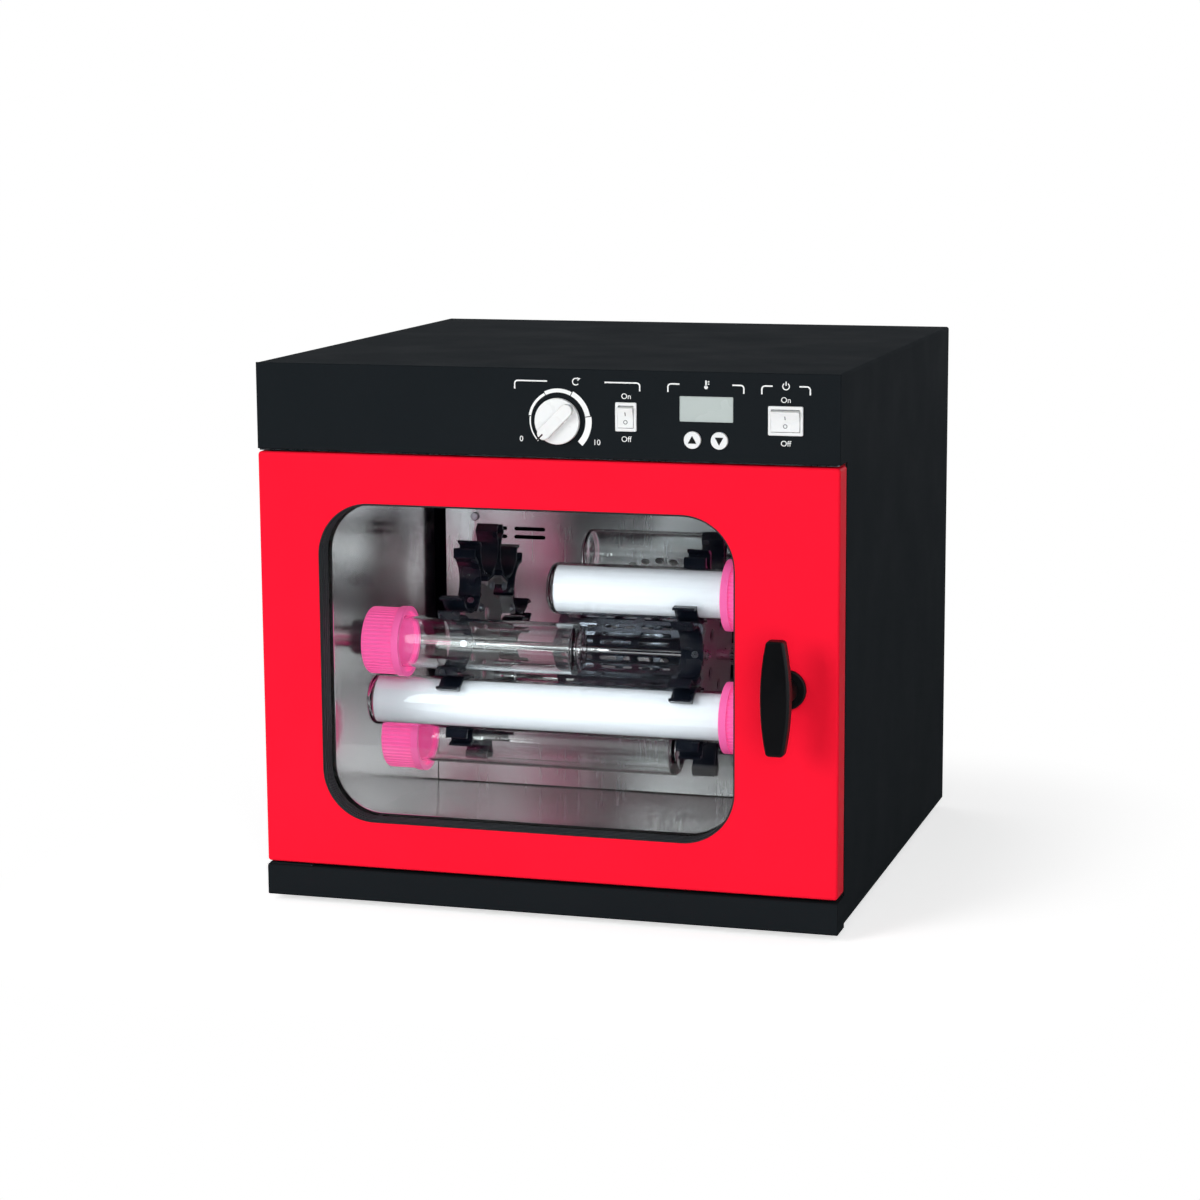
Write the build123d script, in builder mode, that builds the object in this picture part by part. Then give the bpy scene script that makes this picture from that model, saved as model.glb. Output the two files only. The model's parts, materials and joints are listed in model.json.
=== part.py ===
"""Hybridization oven: a heated, stainless chamber with a motor-driven bottle carousel.

X runs to the right, Y from the door towards the back and Z up.  The origin is at bench
level, under the middle of the overall box.  All sizes are in millimetres.
"""
import os
from math import cos, degrees, radians, sin, tan

from build123d import *

# ---------------------------------------------------------------- driving dimensions
CASE_W = 420.0          # width over the side walls
CASE_D = 412.0          # door face to rear panel
CASE_H = 386.0          # underside of the front bar to the cover top
FOOT_H = 5.0            # rubber showing under the front bar
FOOT_R = 11.0
FOOT_INSET = 38.0       # foot centre in from the side and from the front or back
SHEET = 1.2             # painted steel sheet
EDGE_R = 2.0            # bend radius seen on folded corners
PAN_RISE = 3.0          # base pan above the front bar's underside

BAR_H = 22.5            # front bar under the door
BAR_SHEET = 1.5
GAP_LOW = 2.5           # door to front bar
GAP_TOP = 2.0           # door to control head
HEAD_H = 61.0           # control panel
DOOR_H = CASE_H - BAR_H - GAP_LOW - GAP_TOP - HEAD_H
DOOR_T = 20.0
DOOR_SKIN = 1.5
DOOR_EDGE_R = 2.4
DOOR_BACK_SHEET = 1.0
FRAME_DEPTH = 23.5      # door face to the front frame that the seal meets
HEAD_SETBACK = 2.0      # cover edge behind the control panel face
PANEL_T = 2.0

WINDOW_LEFT = 44.5      # window opening in from the left edge of the door
WINDOW_RIGHT = 72.3     # and in from its right edge
WINDOW_LOW = 33.4       # up from the door's lower edge
WINDOW_HIGH = 34.7      # down from its upper edge
WINDOW_R = 38.0
GASKET_T = 1.6          # how far the gasket's ribs stand into the opening
GASKET_LIP = 0.7        # and its front lip
GLASS_T = 3.0
GLASS_LAP = 6.0         # glass held behind the opening's edge
SEAL_W = 7.0
SEAL_INSET = 12.0       # seal's outer edge in from the door's side edges
SEAL_INSET_Z = 3.5      # and in from its top and bottom edges

HINGE_X = 9.0           # pin axis in from the left edge
HINGE_Y = 9.5           # pin axis behind the door face
PIN_R = 3.0
BUSH_R = 5.0
BUSH_L = 12.0
BRACKET_T = 1.2
RUN_FIT = 0.05          # radial running clearance
GAP = 0.3               # clearance between parts that move past each other

LATCH_X = 36.2          # handle axis in from the right edge
LATCH_DROP = 3.0        # and below the middle of the door
GRIP_OUT = 37.0         # grip's outer face in front of the door
GRIP_T = 11.0
GRIP_L = 79.0
GRIP_W = 20.3
GRIP_END_W = 12.0
COLLAR_R = 8.6
BOSS_R = 14.0
BOSS_T = 3.0
SPINDLE_R = 4.0
CAM_L = 21.5
CAM_W = 12.0
CAM_T = 3.0
CAM_DEPTH = 26.0        # cam's front face behind the door face

LINER_T = 1.0
LINER_GAP = 22.0        # chamber wall in from the case side
CHAMBER_LOW = 36.0      # chamber floor at the mouth, above the bar's underside
CHAMBER_TOP = CASE_H - 75.0
FLOOR_FALL = 19.0       # floor drop from the mouth to the baffle
PLENUM = 32.0           # fan space behind the baffle
REAR_WOOL = 20.0
REAR_ROOM = 52.0        # motors, between the wool and the rear panel
BAFFLE_DEPTH = CASE_D - REAR_ROOM - REAR_WOOL - PLENUM - LINER_T
WOOL_GAP = 0.5

AXIS_DEPTH = BAFFLE_DEPTH - 139.0   # carousel axis behind the door face
AXIS_H = 160.0          # above the bar's underside
STATION_R = 75.0        # bottle centres
STATIONS = 10
STATION_PHASE = 10.0    # first station, degrees up from the front
BOTTLE_R = 19.0
BOTTLE_WALL = 1.8
CAP_R = 26.0
CAP_L = 29.0
CAP_LAP = 25.0          # glass inside the cap
CAP_T = 2.6
CLIP_T = 2.2
CLIP_W = 16.5
CLIP_MOUTH = 65.0       # half-angle of the open side
LEFT_PLATE_IN = 85.0    # end plates in from the chamber walls
RIGHT_PLATE_IN = 107.0
PLATE_T = 2.0
PLATE_R = 52.0          # pentagon corners before rounding
ROD_R = 2.5
ROD_CIRCLE = 43.0
DRUM_R = 38.2
DRUM_T = 1.0
SHAFT_R = 4.0
SHAFT_END_R = 3.25
HUB_R = 8.5
HUB_BOSS_R = 13.5
PULLEY_R = 24.0
MOTOR_PULLEY_R = 12.0
BELT_T = 1.6
BELT_W = 6.0
MOTOR_R = 18.5
MOTOR_L = 55.0
FAN_R = 52.0
FAN_W = 18.0
HEATER_R = 66.0
HEATER_LEG = 8.0        # each heater leg out from the middle
TUBE_R = 3.2
PROBE_R = 2.0
PROBE_IN = 38.0         # in from the right wall
PROBE_DOWN = 41.0       # below the chamber's top
PROBE_REACH = 28.0      # tip in front of the baffle
SCREW_R = 3.4
SCREW_HEAD = 2.0
SHANK_R = 1.6

KNOB_IN = 197.1         # control positions in from the right edge of the case
KNOB_R = 15.9
KNOB_OUT = 9.5
ROTOR_SWITCH_IN = 148.6
DISPLAY_IN = 92.6
POWER_SWITCH_IN = 37.4
BUTTON_R = 5.9
BUTTON_OUT = 1.4
BUTTON_PITCH = 18.8
INLET_OUT = 1.6         # inlet flange proud of the rear panel

# ---------------------------------------------------------------- derived positions
HALF_W = CASE_W / 2
FRONT_Y = (GRIP_OUT - CASE_D - INLET_OUT) / 2
Z0 = FOOT_H
TOP_Z = Z0 + CASE_H
PAN_LOW = Z0 + PAN_RISE
PAN_TOP = PAN_LOW + SHEET
BAR_TOP = Z0 + BAR_H
DOOR_LOW = BAR_TOP + GAP_LOW
DOOR_HIGH = DOOR_LOW + DOOR_H
HEAD_LOW = DOOR_HIGH + GAP_TOP
AXIS_Z = Z0 + AXIS_H
LATCH = (HALF_W - LATCH_X, DOOR_LOW + DOOR_H / 2 - LATCH_DROP)
WALL_X = HALF_W - LINER_GAP
LEFT_PLATE_X = LEFT_PLATE_IN - WALL_X
RIGHT_PLATE_X = WALL_X - RIGHT_PLATE_IN
KNOB_X = HALF_W - KNOB_IN
DISPLAY_X = HALF_W - DISPLAY_IN
SKIN_X = HALF_W - SHEET


def deep(distance):
    """The Y of a point that lies this far behind the door face."""
    return FRONT_Y + distance


AXIS_Y = deep(AXIS_DEPTH)
REAR_Y = deep(CASE_D)
BAFFLE_Y = deep(BAFFLE_DEPTH)
LINER_REAR = BAFFLE_Y + PLENUM
WOOL_REAR = LINER_REAR + LINER_T + REAR_WOOL
MOTOR_Y = REAR_Y - SHEET - MOTOR_R - 5.0
WINDOW_W = CASE_W - WINDOW_LEFT - WINDOW_RIGHT
WINDOW_H = DOOR_H - WINDOW_LOW - WINDOW_HIGH
WINDOW_MID = ((WINDOW_LEFT - WINDOW_RIGHT) / 2, DOOR_LOW + (DOOR_H + WINDOW_LOW - WINDOW_HIGH) / 2)
CONTROL_Z = HEAD_LOW + 25.2


def floor_z(y):
    """Height of the sloping chamber floor at this Y."""
    return Z0 + CHAMBER_LOW - FLOOR_FALL * (y - deep(FRAME_DEPTH)) / (BAFFLE_DEPTH - FRAME_DEPTH)


# places shared by the fan, heater and probe and the sheets they pass through
POST_CIRCLE = 30.0
POST_TURNS = [radians(angle) for angle in (90, 210, 330)]
FAN_POSTS = [(POST_CIRCLE * cos(turn), AXIS_Z + POST_CIRCLE * sin(turn)) for turn in POST_TURNS]
HEATER_GAP = degrees(HEATER_LEG / HEATER_R)
HEATER_LEGS = [(side * HEATER_LEG, AXIS_Z - HEATER_R * cos(radians(HEATER_GAP))) for side in (-1, 1)]
PROBE_SPOT = (WALL_X - PROBE_IN, Z0 + CHAMBER_TOP - PROBE_DOWN)


# ---------------------------------------------------------------- helpers
def slab(x, y, z, mode=Mode.ADD):
    """A box between (low, high) limits on each axis."""
    with Locations(((x[0] + x[1]) / 2, (y[0] + y[1]) / 2, (z[0] + z[1]) / 2)):
        Box(x[1] - x[0], y[1] - y[0], z[1] - z[0], mode=mode)


def facing(y):
    """A plane that faces the user: local x is X, local y is Z."""
    return Plane(origin=(0, y, 0), x_dir=(1, 0, 0), z_dir=(0, -1, 0))


def across(x, y=AXIS_Y, z=AXIS_Z):
    """A plane across the X axis: local x points to the front, local y up."""
    return Plane(origin=(x, y, z), x_dir=(0, -1, 0), z_dir=(-1, 0, 0))


def rod(plane, radius, length, spots=((0, 0),), mode=Mode.ADD):
    """Round bars that run from a plane away from its normal, one at each spot."""
    with BuildSketch(plane) as section:
        with Locations(*spots):
            Circle(radius)
    extrude(section.sketch, amount=-length, mode=mode)


def plate(plane, width, height, spot, depth, corner=0.0, mode=Mode.ADD):
    """A flat plate with rounded corners that runs back from a plane."""
    with BuildSketch(plane) as section:
        with Locations(spot):
            if corner:
                RectangleRounded(width, height, corner)
            else:
                Rectangle(width, height)
    extrude(section.sketch, amount=-depth, mode=mode)


def finish(builder, name):
    """Label a finished piece and write its file."""
    builder.part.label = name
    export_step(builder.part, f"parts/{name}.step")


def screws(plane, spots):
    """Pan-head screws with their heads on a plane and shanks behind it."""
    rod(plane.offset(SCREW_HEAD), SCREW_R, SCREW_HEAD, spots)
    heads = faces().sort_by(Axis(plane.origin, plane.z_dir))[-len(spots):]
    fillet(heads.edges(), SCREW_HEAD * 0.4)
    rod(plane, SHANK_R, 4.0, spots)


os.makedirs("parts", exist_ok=True)

# ================================================================ cabinet shell
SIDE_CLEAR = SKIN_X - GAP
SWEEP = CAM_L + 2.5             # room round the latch cam
KEEPER_SPOT = (WALL_X + (LATCH[0] + SWEEP - WALL_X) / 2, LATCH[1] - (SWEEP - CAM_W / 2 - 2) / 2)
KEEPER_SIZE = (LATCH[0] + SWEEP - WALL_X, SWEEP + CAM_W / 2 + 2)

with BuildPart() as outer_cover:
    with BuildSketch(across(HALF_W, 0, 0)):
        with BuildLine():
            Polyline(
                (-deep(FRAME_DEPTH), PAN_LOW),
                (-deep(FRAME_DEPTH), HEAD_LOW),
                (-deep(HEAD_SETBACK), HEAD_LOW),
                (-deep(HEAD_SETBACK), TOP_Z),
                (-REAR_Y, TOP_Z),
                (-REAR_Y, PAN_LOW),
                close=True,
            )
        make_face()
    extrude(amount=CASE_W)
    long_edges = edges().filter_by(Axis.Y).group_by(Axis.Z)[-1]
    fillet(long_edges, EDGE_R)
    slab((-SKIN_X, SKIN_X), (deep(0) - 1, REAR_Y + 1), (0, TOP_Z - SHEET), Mode.SUBTRACT)
finish(outer_cover, "outer_cover")

with BuildPart() as base_pan:
    pan_y = (deep(FRAME_DEPTH), REAR_Y - SHEET - GAP)
    slab((-SIDE_CLEAR, SIDE_CLEAR), pan_y, (PAN_LOW, PAN_TOP))
    for side in (-1, 1):
        edge = sorted((side * SIDE_CLEAR, side * (SIDE_CLEAR - SHEET)))
        slab(edge, pan_y, (PAN_LOW, PAN_LOW + 11))
    foot_spots = [
        (sx * (HALF_W - FOOT_INSET), y)
        for sx in (-1, 1)
        for y in (deep(FOOT_INSET), REAR_Y - FOOT_INSET)
    ]
    rod(Plane.XY.offset(Z0 + 20), SHANK_R, 20, foot_spots, Mode.SUBTRACT)
finish(base_pan, "base_pan")

with BuildPart() as base_front_bar:
    slab((-HALF_W, HALF_W), (deep(0), deep(FRAME_DEPTH)), (Z0, BAR_TOP))
    fillet(edges().filter_by(Axis.X).group_by(Axis.Y)[0], EDGE_R)
    inner_x = (BAR_SHEET - HALF_W, HALF_W - BAR_SHEET)
    inner_z = (Z0 + BAR_SHEET, BAR_TOP - BAR_SHEET)
    slab(inner_x, (deep(BAR_SHEET), deep(FRAME_DEPTH) + 1), inner_z, Mode.SUBTRACT)
finish(base_front_bar, "base_front_bar")

with BuildPart() as feet:
    for spot in foot_spots:
        with Locations((spot[0], spot[1], PAN_LOW / 2)):
            Cylinder(FOOT_R, PAN_LOW)
    fillet(faces().group_by(Axis.Z)[0].edges(), 1.5)
    rod(Plane.XY.offset(Z0 + 20), SHANK_R, Z0 + 20, foot_spots, Mode.SUBTRACT)
    rod(Plane.XY.offset(SCREW_HEAD + 1), SCREW_R + 1, 10, foot_spots, Mode.SUBTRACT)
finish(feet, "feet")

# front frame: the face the door seal closes against
MOUTH_LOW = Z0 + CHAMBER_LOW
MOUTH_TOP = Z0 + CHAMBER_TOP
with BuildPart() as front_frame:
    frame_mid = (BAR_TOP + HEAD_LOW) / 2
    plate(facing(deep(FRAME_DEPTH)), 2 * SIDE_CLEAR, HEAD_LOW - BAR_TOP, (0, frame_mid), SHEET)
    mouth_mid = (MOUTH_LOW + MOUTH_TOP) / 2
    mouth = (2 * WALL_X, MOUTH_TOP - MOUTH_LOW)
    plate(facing(deep(FRAME_DEPTH) - 1), *mouth, (0, mouth_mid), 5, mode=Mode.SUBTRACT)
    plate(facing(deep(FRAME_DEPTH) - 1), *KEEPER_SIZE, KEEPER_SPOT, 5, mode=Mode.SUBTRACT)
finish(front_frame, "front_frame")

LINER_FRONT = deep(FRAME_DEPTH) + SHEET
with BuildPart() as chamber_liner:
    for half, grow, mode, front, rear in (
        (WALL_X + LINER_T, LINER_T, Mode.ADD, LINER_FRONT, LINER_REAR + LINER_T),
        (WALL_X, 0, Mode.SUBTRACT, LINER_FRONT - 1, LINER_REAR),
    ):
        with BuildSketch(across(half, 0, 0)):
            with BuildLine():
                Polyline(
                    (-front, floor_z(front) - grow),
                    (-front, MOUTH_TOP + grow),
                    (-rear, MOUTH_TOP + grow),
                    (-rear, floor_z(rear) - grow),
                    close=True,
                )
            make_face()
        extrude(amount=2 * half, mode=mode)
    rod(across(-WALL_X - 5), HUB_BOSS_R - 3, 10, mode=Mode.SUBTRACT)
    rod(facing(LINER_REAR - 5), 6, 10, [(0, AXIS_Z)], Mode.SUBTRACT)
    rod(facing(LINER_REAR - 5), TUBE_R + GAP, 10, HEATER_LEGS, Mode.SUBTRACT)
    rod(facing(LINER_REAR - 5), PROBE_R + GAP, 10, [PROBE_SPOT], Mode.SUBTRACT)
    keeper_x = (WALL_X - 1, WALL_X + 5)
    keeper_z = (KEEPER_SPOT[1] - KEEPER_SIZE[1] / 2, KEEPER_SPOT[1] + KEEPER_SIZE[1] / 2)
    KEEPER_REAR = deep(CAM_DEPTH) + CAM_T + 2.5
    slab(keeper_x, (LINER_FRONT - 1, KEEPER_REAR), keeper_z, Mode.SUBTRACT)
finish(chamber_liner, "chamber_liner")

with BuildPart() as latch_keeper:
    outer_edge = KEEPER_SPOT[0] + KEEPER_SIZE[0] / 2
    box_x = (WALL_X + LINER_T, outer_edge + LINER_T)
    box_z = (keeper_z[0] - LINER_T, keeper_z[1] + LINER_T)
    slab(box_x, (LINER_FRONT, KEEPER_REAR + LINER_T), box_z)
    slab((WALL_X, outer_edge), (LINER_FRONT - 1, KEEPER_REAR), keeper_z, Mode.SUBTRACT)
finish(latch_keeper, "latch_keeper")

# baffle: folded sheet in front of the fan, slotted near the top and round the intake
BAFFLE_EDGE = WALL_X - 9.5
APRON_EDGE = WALL_X - 0.3       # the lower part reaches the walls
APRON_TOP = MOUTH_LOW + 64.0
SLOT_L = 26.0
SLOT_H = 3.0
SLOT_ROWS = 2
SLOT_PITCH = 6.6
SLOT_COLUMNS = [side * (BAFFLE_EDGE - gap) for side in (-1, 1) for gap in (39.0, 71.0)]
SLOT_LOW = MOUTH_TOP - 90.4
INTAKE_R = 44.0
BAFFLE_SCREW_IN = 25.0
BAFFLE_SCREW_Z = (MOUTH_LOW + 24.0, MOUTH_TOP - 75.0, MOUTH_TOP - 15.0)
baffle_spots = [(sx * (BAFFLE_EDGE - BAFFLE_SCREW_IN), z) for sx in (-1, 1) for z in BAFFLE_SCREW_Z]
with BuildPart() as fan_baffle:
    low = floor_z(BAFFLE_Y + PLENUM / 2) + 2
    high = MOUTH_TOP - 1
    slab((-BAFFLE_EDGE, BAFFLE_EDGE), (BAFFLE_Y, BAFFLE_Y + LINER_T), (low, high))
    slab((-APRON_EDGE, APRON_EDGE), (BAFFLE_Y, BAFFLE_Y + LINER_T), (low, APRON_TOP))
    for side in (-1, 1):
        edge = sorted((side * BAFFLE_EDGE, side * (BAFFLE_EDGE - LINER_T)))
        slab(edge, (BAFFLE_Y, LINER_REAR), (low, high))
    with BuildSketch(facing(BAFFLE_Y - 1)):
        for column in SLOT_COLUMNS:
            with Locations((column, SLOT_LOW + SLOT_PITCH * (SLOT_ROWS - 1) / 2)):
                with GridLocations(1, SLOT_PITCH, 1, SLOT_ROWS):
                    SlotOverall(SLOT_L, SLOT_H)
        with Locations((0, AXIS_Z)):
            for ring in range(1, 5):
                with PolarLocations(INTAKE_R * ring / 4, 6 * ring):
                    Circle(3.5)
        with Locations(*baffle_spots):
            Circle(SHANK_R)
        with Locations(PROBE_SPOT):
            Circle(PROBE_R)
    extrude(amount=-3, mode=Mode.SUBTRACT)
finish(fan_baffle, "fan_baffle")

with BuildPart() as insulation:
    wool_z = (PAN_TOP + WOOL_GAP, HEAD_LOW - WOOL_GAP)
    wool_y = (LINER_FRONT + WOOL_GAP, LINER_REAR + LINER_T)
    wall_out = WALL_X + LINER_T + WOOL_GAP
    wool_out = SIDE_CLEAR - 3
    belt_room = SKIN_X - BELT_W - 5.0
    side_z = (MOUTH_LOW, MOUTH_TOP - WOOL_GAP)
    pocket = LINER_T + WOOL_GAP
    keeper_back = KEEPER_REAR + pocket
    slab((-belt_room, -wall_out), wool_y, side_z)
    slab((wall_out, wool_out), (keeper_back, wool_y[1]), side_z)
    slab((wall_out, wool_out), (wool_y[0], keeper_back - WOOL_GAP), (side_z[0], keeper_z[0] - pocket))
    slab((wall_out, wool_out), (wool_y[0], keeper_back - WOOL_GAP), (keeper_z[1] + pocket, side_z[1]))
    slab((-belt_room, wool_out), wool_y, (MOUTH_TOP + LINER_T + WOOL_GAP, wool_z[1]))
    rear_y = (LINER_REAR + LINER_T + WOOL_GAP, WOOL_REAR)
    slab((-belt_room, wool_out), rear_y, wool_z)
    with BuildSketch(across(wool_out, 0, 0)):
        with BuildLine():
            Polyline(
                (-wool_y[0], wool_z[0]),
                (-wool_y[0], floor_z(wool_y[0]) - LINER_T - WOOL_GAP),
                (-wool_y[1], floor_z(wool_y[1]) - LINER_T - WOOL_GAP),
                (-wool_y[1], wool_z[0]),
                close=True,
            )
        make_face()
    extrude(amount=wool_out + belt_room)
    rod(across(-belt_room - 1), HUB_BOSS_R + 1, 20, mode=Mode.SUBTRACT)
    rod(facing(LINER_REAR), 8, 40, [(0, AXIS_Z)], Mode.SUBTRACT)
    rod(facing(LINER_REAR), 5, 40, FAN_POSTS, Mode.SUBTRACT)
    rod(facing(LINER_REAR), 5, 40, HEATER_LEGS, Mode.SUBTRACT)
    rod(facing(LINER_REAR), 4, 40, [PROBE_SPOT], Mode.SUBTRACT)
finish(insulation, "insulation")

# control head: floor plate, front panel and what it carries
with BuildPart() as head_floor:
    floor_y = (deep(PANEL_T), WOOL_REAR + 6)
    slab((-SIDE_CLEAR, SIDE_CLEAR), floor_y, (HEAD_LOW, HEAD_LOW + SHEET))
    for side in (-1, 1):
        edge = sorted((side * SIDE_CLEAR, side * (SIDE_CLEAR - SHEET)))
        slab(edge, (deep(FRAME_DEPTH), floor_y[1]), (HEAD_LOW, HEAD_LOW + 12))
finish(head_floor, "head_floor")

# switch place, bezel width and rocker width
SWITCHES = {
    "rotor": (HALF_W - ROTOR_SWITCH_IN, 15.0, 10.6),
    "power": (HALF_W - POWER_SWITCH_IN, 24.0, 19.6),
}
SWITCH_Z = HEAD_LOW + 29.2
BEZEL_H = 19.8
BEZEL_OUT = 1.6
ROCKER_H = 13.6
ROCKER_OPENING = 15.4
BODY_TRIM = 1.2                 # switch body inside its bezel, each side
DISPLAY_Z = HEAD_LOW + 35.6
DISPLAY_W = 37.6
DISPLAY_H = 17.4
DISPLAY_SUNK = 0.7
BUTTON_Z = HEAD_LOW + 14.6
BUTTON_SPOTS = [(DISPLAY_X - BUTTON_PITCH / 2, BUTTON_Z), (DISPLAY_X + BUTTON_PITCH / 2, BUTTON_Z)]
KNOB_SPOT = (KNOB_X, CONTROL_Z)
POT_SHAFT_R = 3.0
with BuildPart() as control_panel:
    plate(facing(deep(0)), CASE_W, TOP_Z - HEAD_LOW, (0, (TOP_Z + HEAD_LOW) / 2), PANEL_T)
    fillet(edges().group_by(Axis.Y)[0], PANEL_T * 0.6)
    for x, width, rocker in SWITCHES.values():
        hole = (width - 2 * BODY_TRIM + 0.2, BEZEL_H - 2 * BODY_TRIM + 0.2)
        plate(facing(deep(-1)), *hole, (x, SWITCH_Z), 5, mode=Mode.SUBTRACT)
    plate(facing(deep(-1)), DISPLAY_W, DISPLAY_H, (DISPLAY_X, DISPLAY_Z), 5, 0.8, Mode.SUBTRACT)
    rod(facing(deep(-1)), BUTTON_R + GAP, 5, BUTTON_SPOTS, Mode.SUBTRACT)
    rod(facing(deep(-1)), POT_SHAFT_R + 1.5, 5, [KNOB_SPOT], Mode.SUBTRACT)
finish(control_panel, "control_panel")

SWITCH_DEEP = 16.0
with BuildPart() as switch_bodies:
    for x, width, rocker in SWITCHES.values():
        plate(facing(deep(-BEZEL_OUT)), width, BEZEL_H, (x, SWITCH_Z), BEZEL_OUT, 1.0)
    fillet(faces().group_by(Axis.Y)[0].edges(), 0.5)
    for x, width, rocker in SWITCHES.values():
        trim = 2 * BODY_TRIM
        plate(facing(deep(0)), width - trim, BEZEL_H - trim, (x, SWITCH_Z), SWITCH_DEEP)
        well = (rocker + 2 * GAP, ROCKER_OPENING)
        plate(facing(deep(-BEZEL_OUT - 1)), *well, (x, SWITCH_Z), 8, mode=Mode.SUBTRACT)
        for z in (-4.5, 4.5):
            plate(facing(deep(SWITCH_DEEP)), 4.0, 0.8, (x, SWITCH_Z + z), 6)
finish(switch_bodies, "switch_bodies")

# rockers, tipped so that the lower half is pressed in
TILT = radians(9)
for name, (x, width, rocker) in SWITCHES.items():
    pivot = (x + rocker / 2, deep(0), SWITCH_Z)
    tipped = Plane(origin=pivot, x_dir=(0, -cos(TILT), -sin(TILT)), z_dir=(-1, 0, 0))
    with BuildPart() as rocker_key:
        with BuildSketch(tipped):
            with BuildLine():
                half = ROCKER_H / 2
                front = [(3.4, half), (1.9, 0), (3.4, -half)]
                back = [(-2.6, -half), (-4.4, 0), (-2.6, half)]
                Polyline(*front, *back, close=True)
            make_face()
        extrude(amount=rocker)
        fillet(edges().filter_by(Axis.X).group_by(Axis.Y)[0], 0.5)
    finish(rocker_key, f"{name}_rocker")

with BuildPart() as display_window:
    pane = (DISPLAY_W - 0.2, DISPLAY_H - 0.2)
    plate(facing(deep(DISPLAY_SUNK)), *pane, (DISPLAY_X, DISPLAY_Z), PANEL_T - DISPLAY_SUNK, 0.7)
finish(display_window, "display_window")

BOARD_DEEP = 15.0
BOARD_T = 1.6
BOARD_LOW = HEAD_LOW + SHEET + 1.5
BOARD_HIGH = TOP_Z - SHEET - 3
with BuildPart() as control_board:
    board = (DISPLAY_W + 22, BOARD_HIGH - BOARD_LOW)
    middle = (DISPLAY_X, (BOARD_LOW + BOARD_HIGH) / 2)
    plate(facing(deep(BOARD_DEEP)), *board, middle, BOARD_T)
    for dx, dz in ((-14, 8), (2, 6), (15, 9), (-6, -12)):
        plate(facing(deep(BOARD_DEEP + BOARD_T)), 9, 7, (middle[0] + dx, middle[1] + dz), 3)
    post_x, post_z = board[0] / 2 - 4, board[1] / 2 - 5
    posts = [(middle[0] + sx * post_x, middle[1] + sz * post_z) for sx in (-1, 1) for sz in (-1, 1)]
    rod(facing(deep(PANEL_T)), 2.5, BOARD_DEEP - PANEL_T, posts)
    module = (DISPLAY_W + 6, DISPLAY_H + 4)
    plate(facing(deep(PANEL_T)), *module, (DISPLAY_X, DISPLAY_Z), BOARD_DEEP - PANEL_T)
    for spot in BUTTON_SPOTS:
        plate(facing(deep(BOARD_DEEP - 2.8)), 6, 6, spot, 2.8)
finish(control_board, "control_board")

STEM_END = BOARD_DEEP - 4.5     # button stem's tip behind the panel face

for name, spot in zip(("up_button", "down_button"), BUTTON_SPOTS):
    with BuildPart() as button:
        rod(facing(deep(-BUTTON_OUT)), BUTTON_R, BUTTON_OUT + PANEL_T + GAP, [spot])
        fillet(faces().sort_by(Axis.Y)[0].edges(), 0.5)
        rod(facing(deep(PANEL_T + GAP)), BUTTON_R + 1, 1.2, [spot])
        rod(facing(deep(PANEL_T + GAP)), 2, STEM_END - PANEL_T - GAP, [spot])
    finish(button, name)

POT_DEEP = 12.0
with BuildPart() as speed_potentiometer:
    rod(facing(deep(PANEL_T)), 11, POT_DEEP - PANEL_T, [KNOB_SPOT])
    rod(facing(deep(0.4)), POT_SHAFT_R + 1.4, PANEL_T, [KNOB_SPOT])
    rod(facing(deep(0)), POT_SHAFT_R + RUN_FIT, POT_DEEP - 2, [KNOB_SPOT], Mode.SUBTRACT)
    plate(facing(deep(POT_DEEP)), 14, 5, (KNOB_X, CONTROL_Z - 8), 1.5)
finish(speed_potentiometer, "speed_potentiometer")

KNOB_FACE = 4.0                 # knob's round face in front of the panel
GRIP_BAR = 9.0
with BuildPart() as speed_knob:
    rod(facing(deep(-KNOB_FACE)), KNOB_R, KNOB_FACE - 1, [KNOB_SPOT])
    fillet(faces().sort_by(Axis.Y)[0].edges(), 0.8)
    with BuildSketch(facing(deep(-KNOB_OUT))):
        with Locations(Location((*KNOB_SPOT, 0), (0, 0, 45))):
            SlotOverall(2 * KNOB_R - 0.4, GRIP_BAR)
    extrude(amount=KNOB_FACE - KNOB_OUT)
    fillet(faces().sort_by(Axis.Y)[0].edges(), 0.8)
    rod(facing(deep(-KNOB_FACE)), POT_SHAFT_R, KNOB_FACE + POT_DEEP - 2.6, [KNOB_SPOT])
finish(speed_knob, "speed_knob")

with BuildPart() as power_supply:
    supply = (HALF_W - 105.0, deep(CASE_D / 2 - 31.0))      # board's middle
    half_x, half_y, rise = 45.0, 55.0, 6.0
    board_z = HEAD_LOW + SHEET + rise
    part_z = board_z + BOARD_T
    with Locations((*supply, board_z + BOARD_T / 2)):
        Box(2 * half_x, 2 * half_y, BOARD_T)
    corners = [(sx * (half_x - 5), sy * (half_y - 5)) for sx in (-1, 1) for sy in (-1, 1)]
    legs = [(supply[0] + dx, supply[1] + dy) for dx, dy in corners]
    rod(Plane.XY.offset(board_z), 3, rise, legs)
    slab((supply[0] - 35, supply[0] + 7), (supply[1] - 40, supply[1] + 10), (part_z, part_z + 32))
    cans = [(supply[0] + dx, supply[1] + dy) for dx in (17, 33) for dy in (-25, -5)]
    rod(Plane.XY.offset(part_z + 24), 6, 24, cans)
    slab((supply[0] + 13, supply[0] + 37), (supply[1] + 25, supply[1] + 31), (part_z, part_z + 22))
finish(power_supply, "power_supply")

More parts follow.
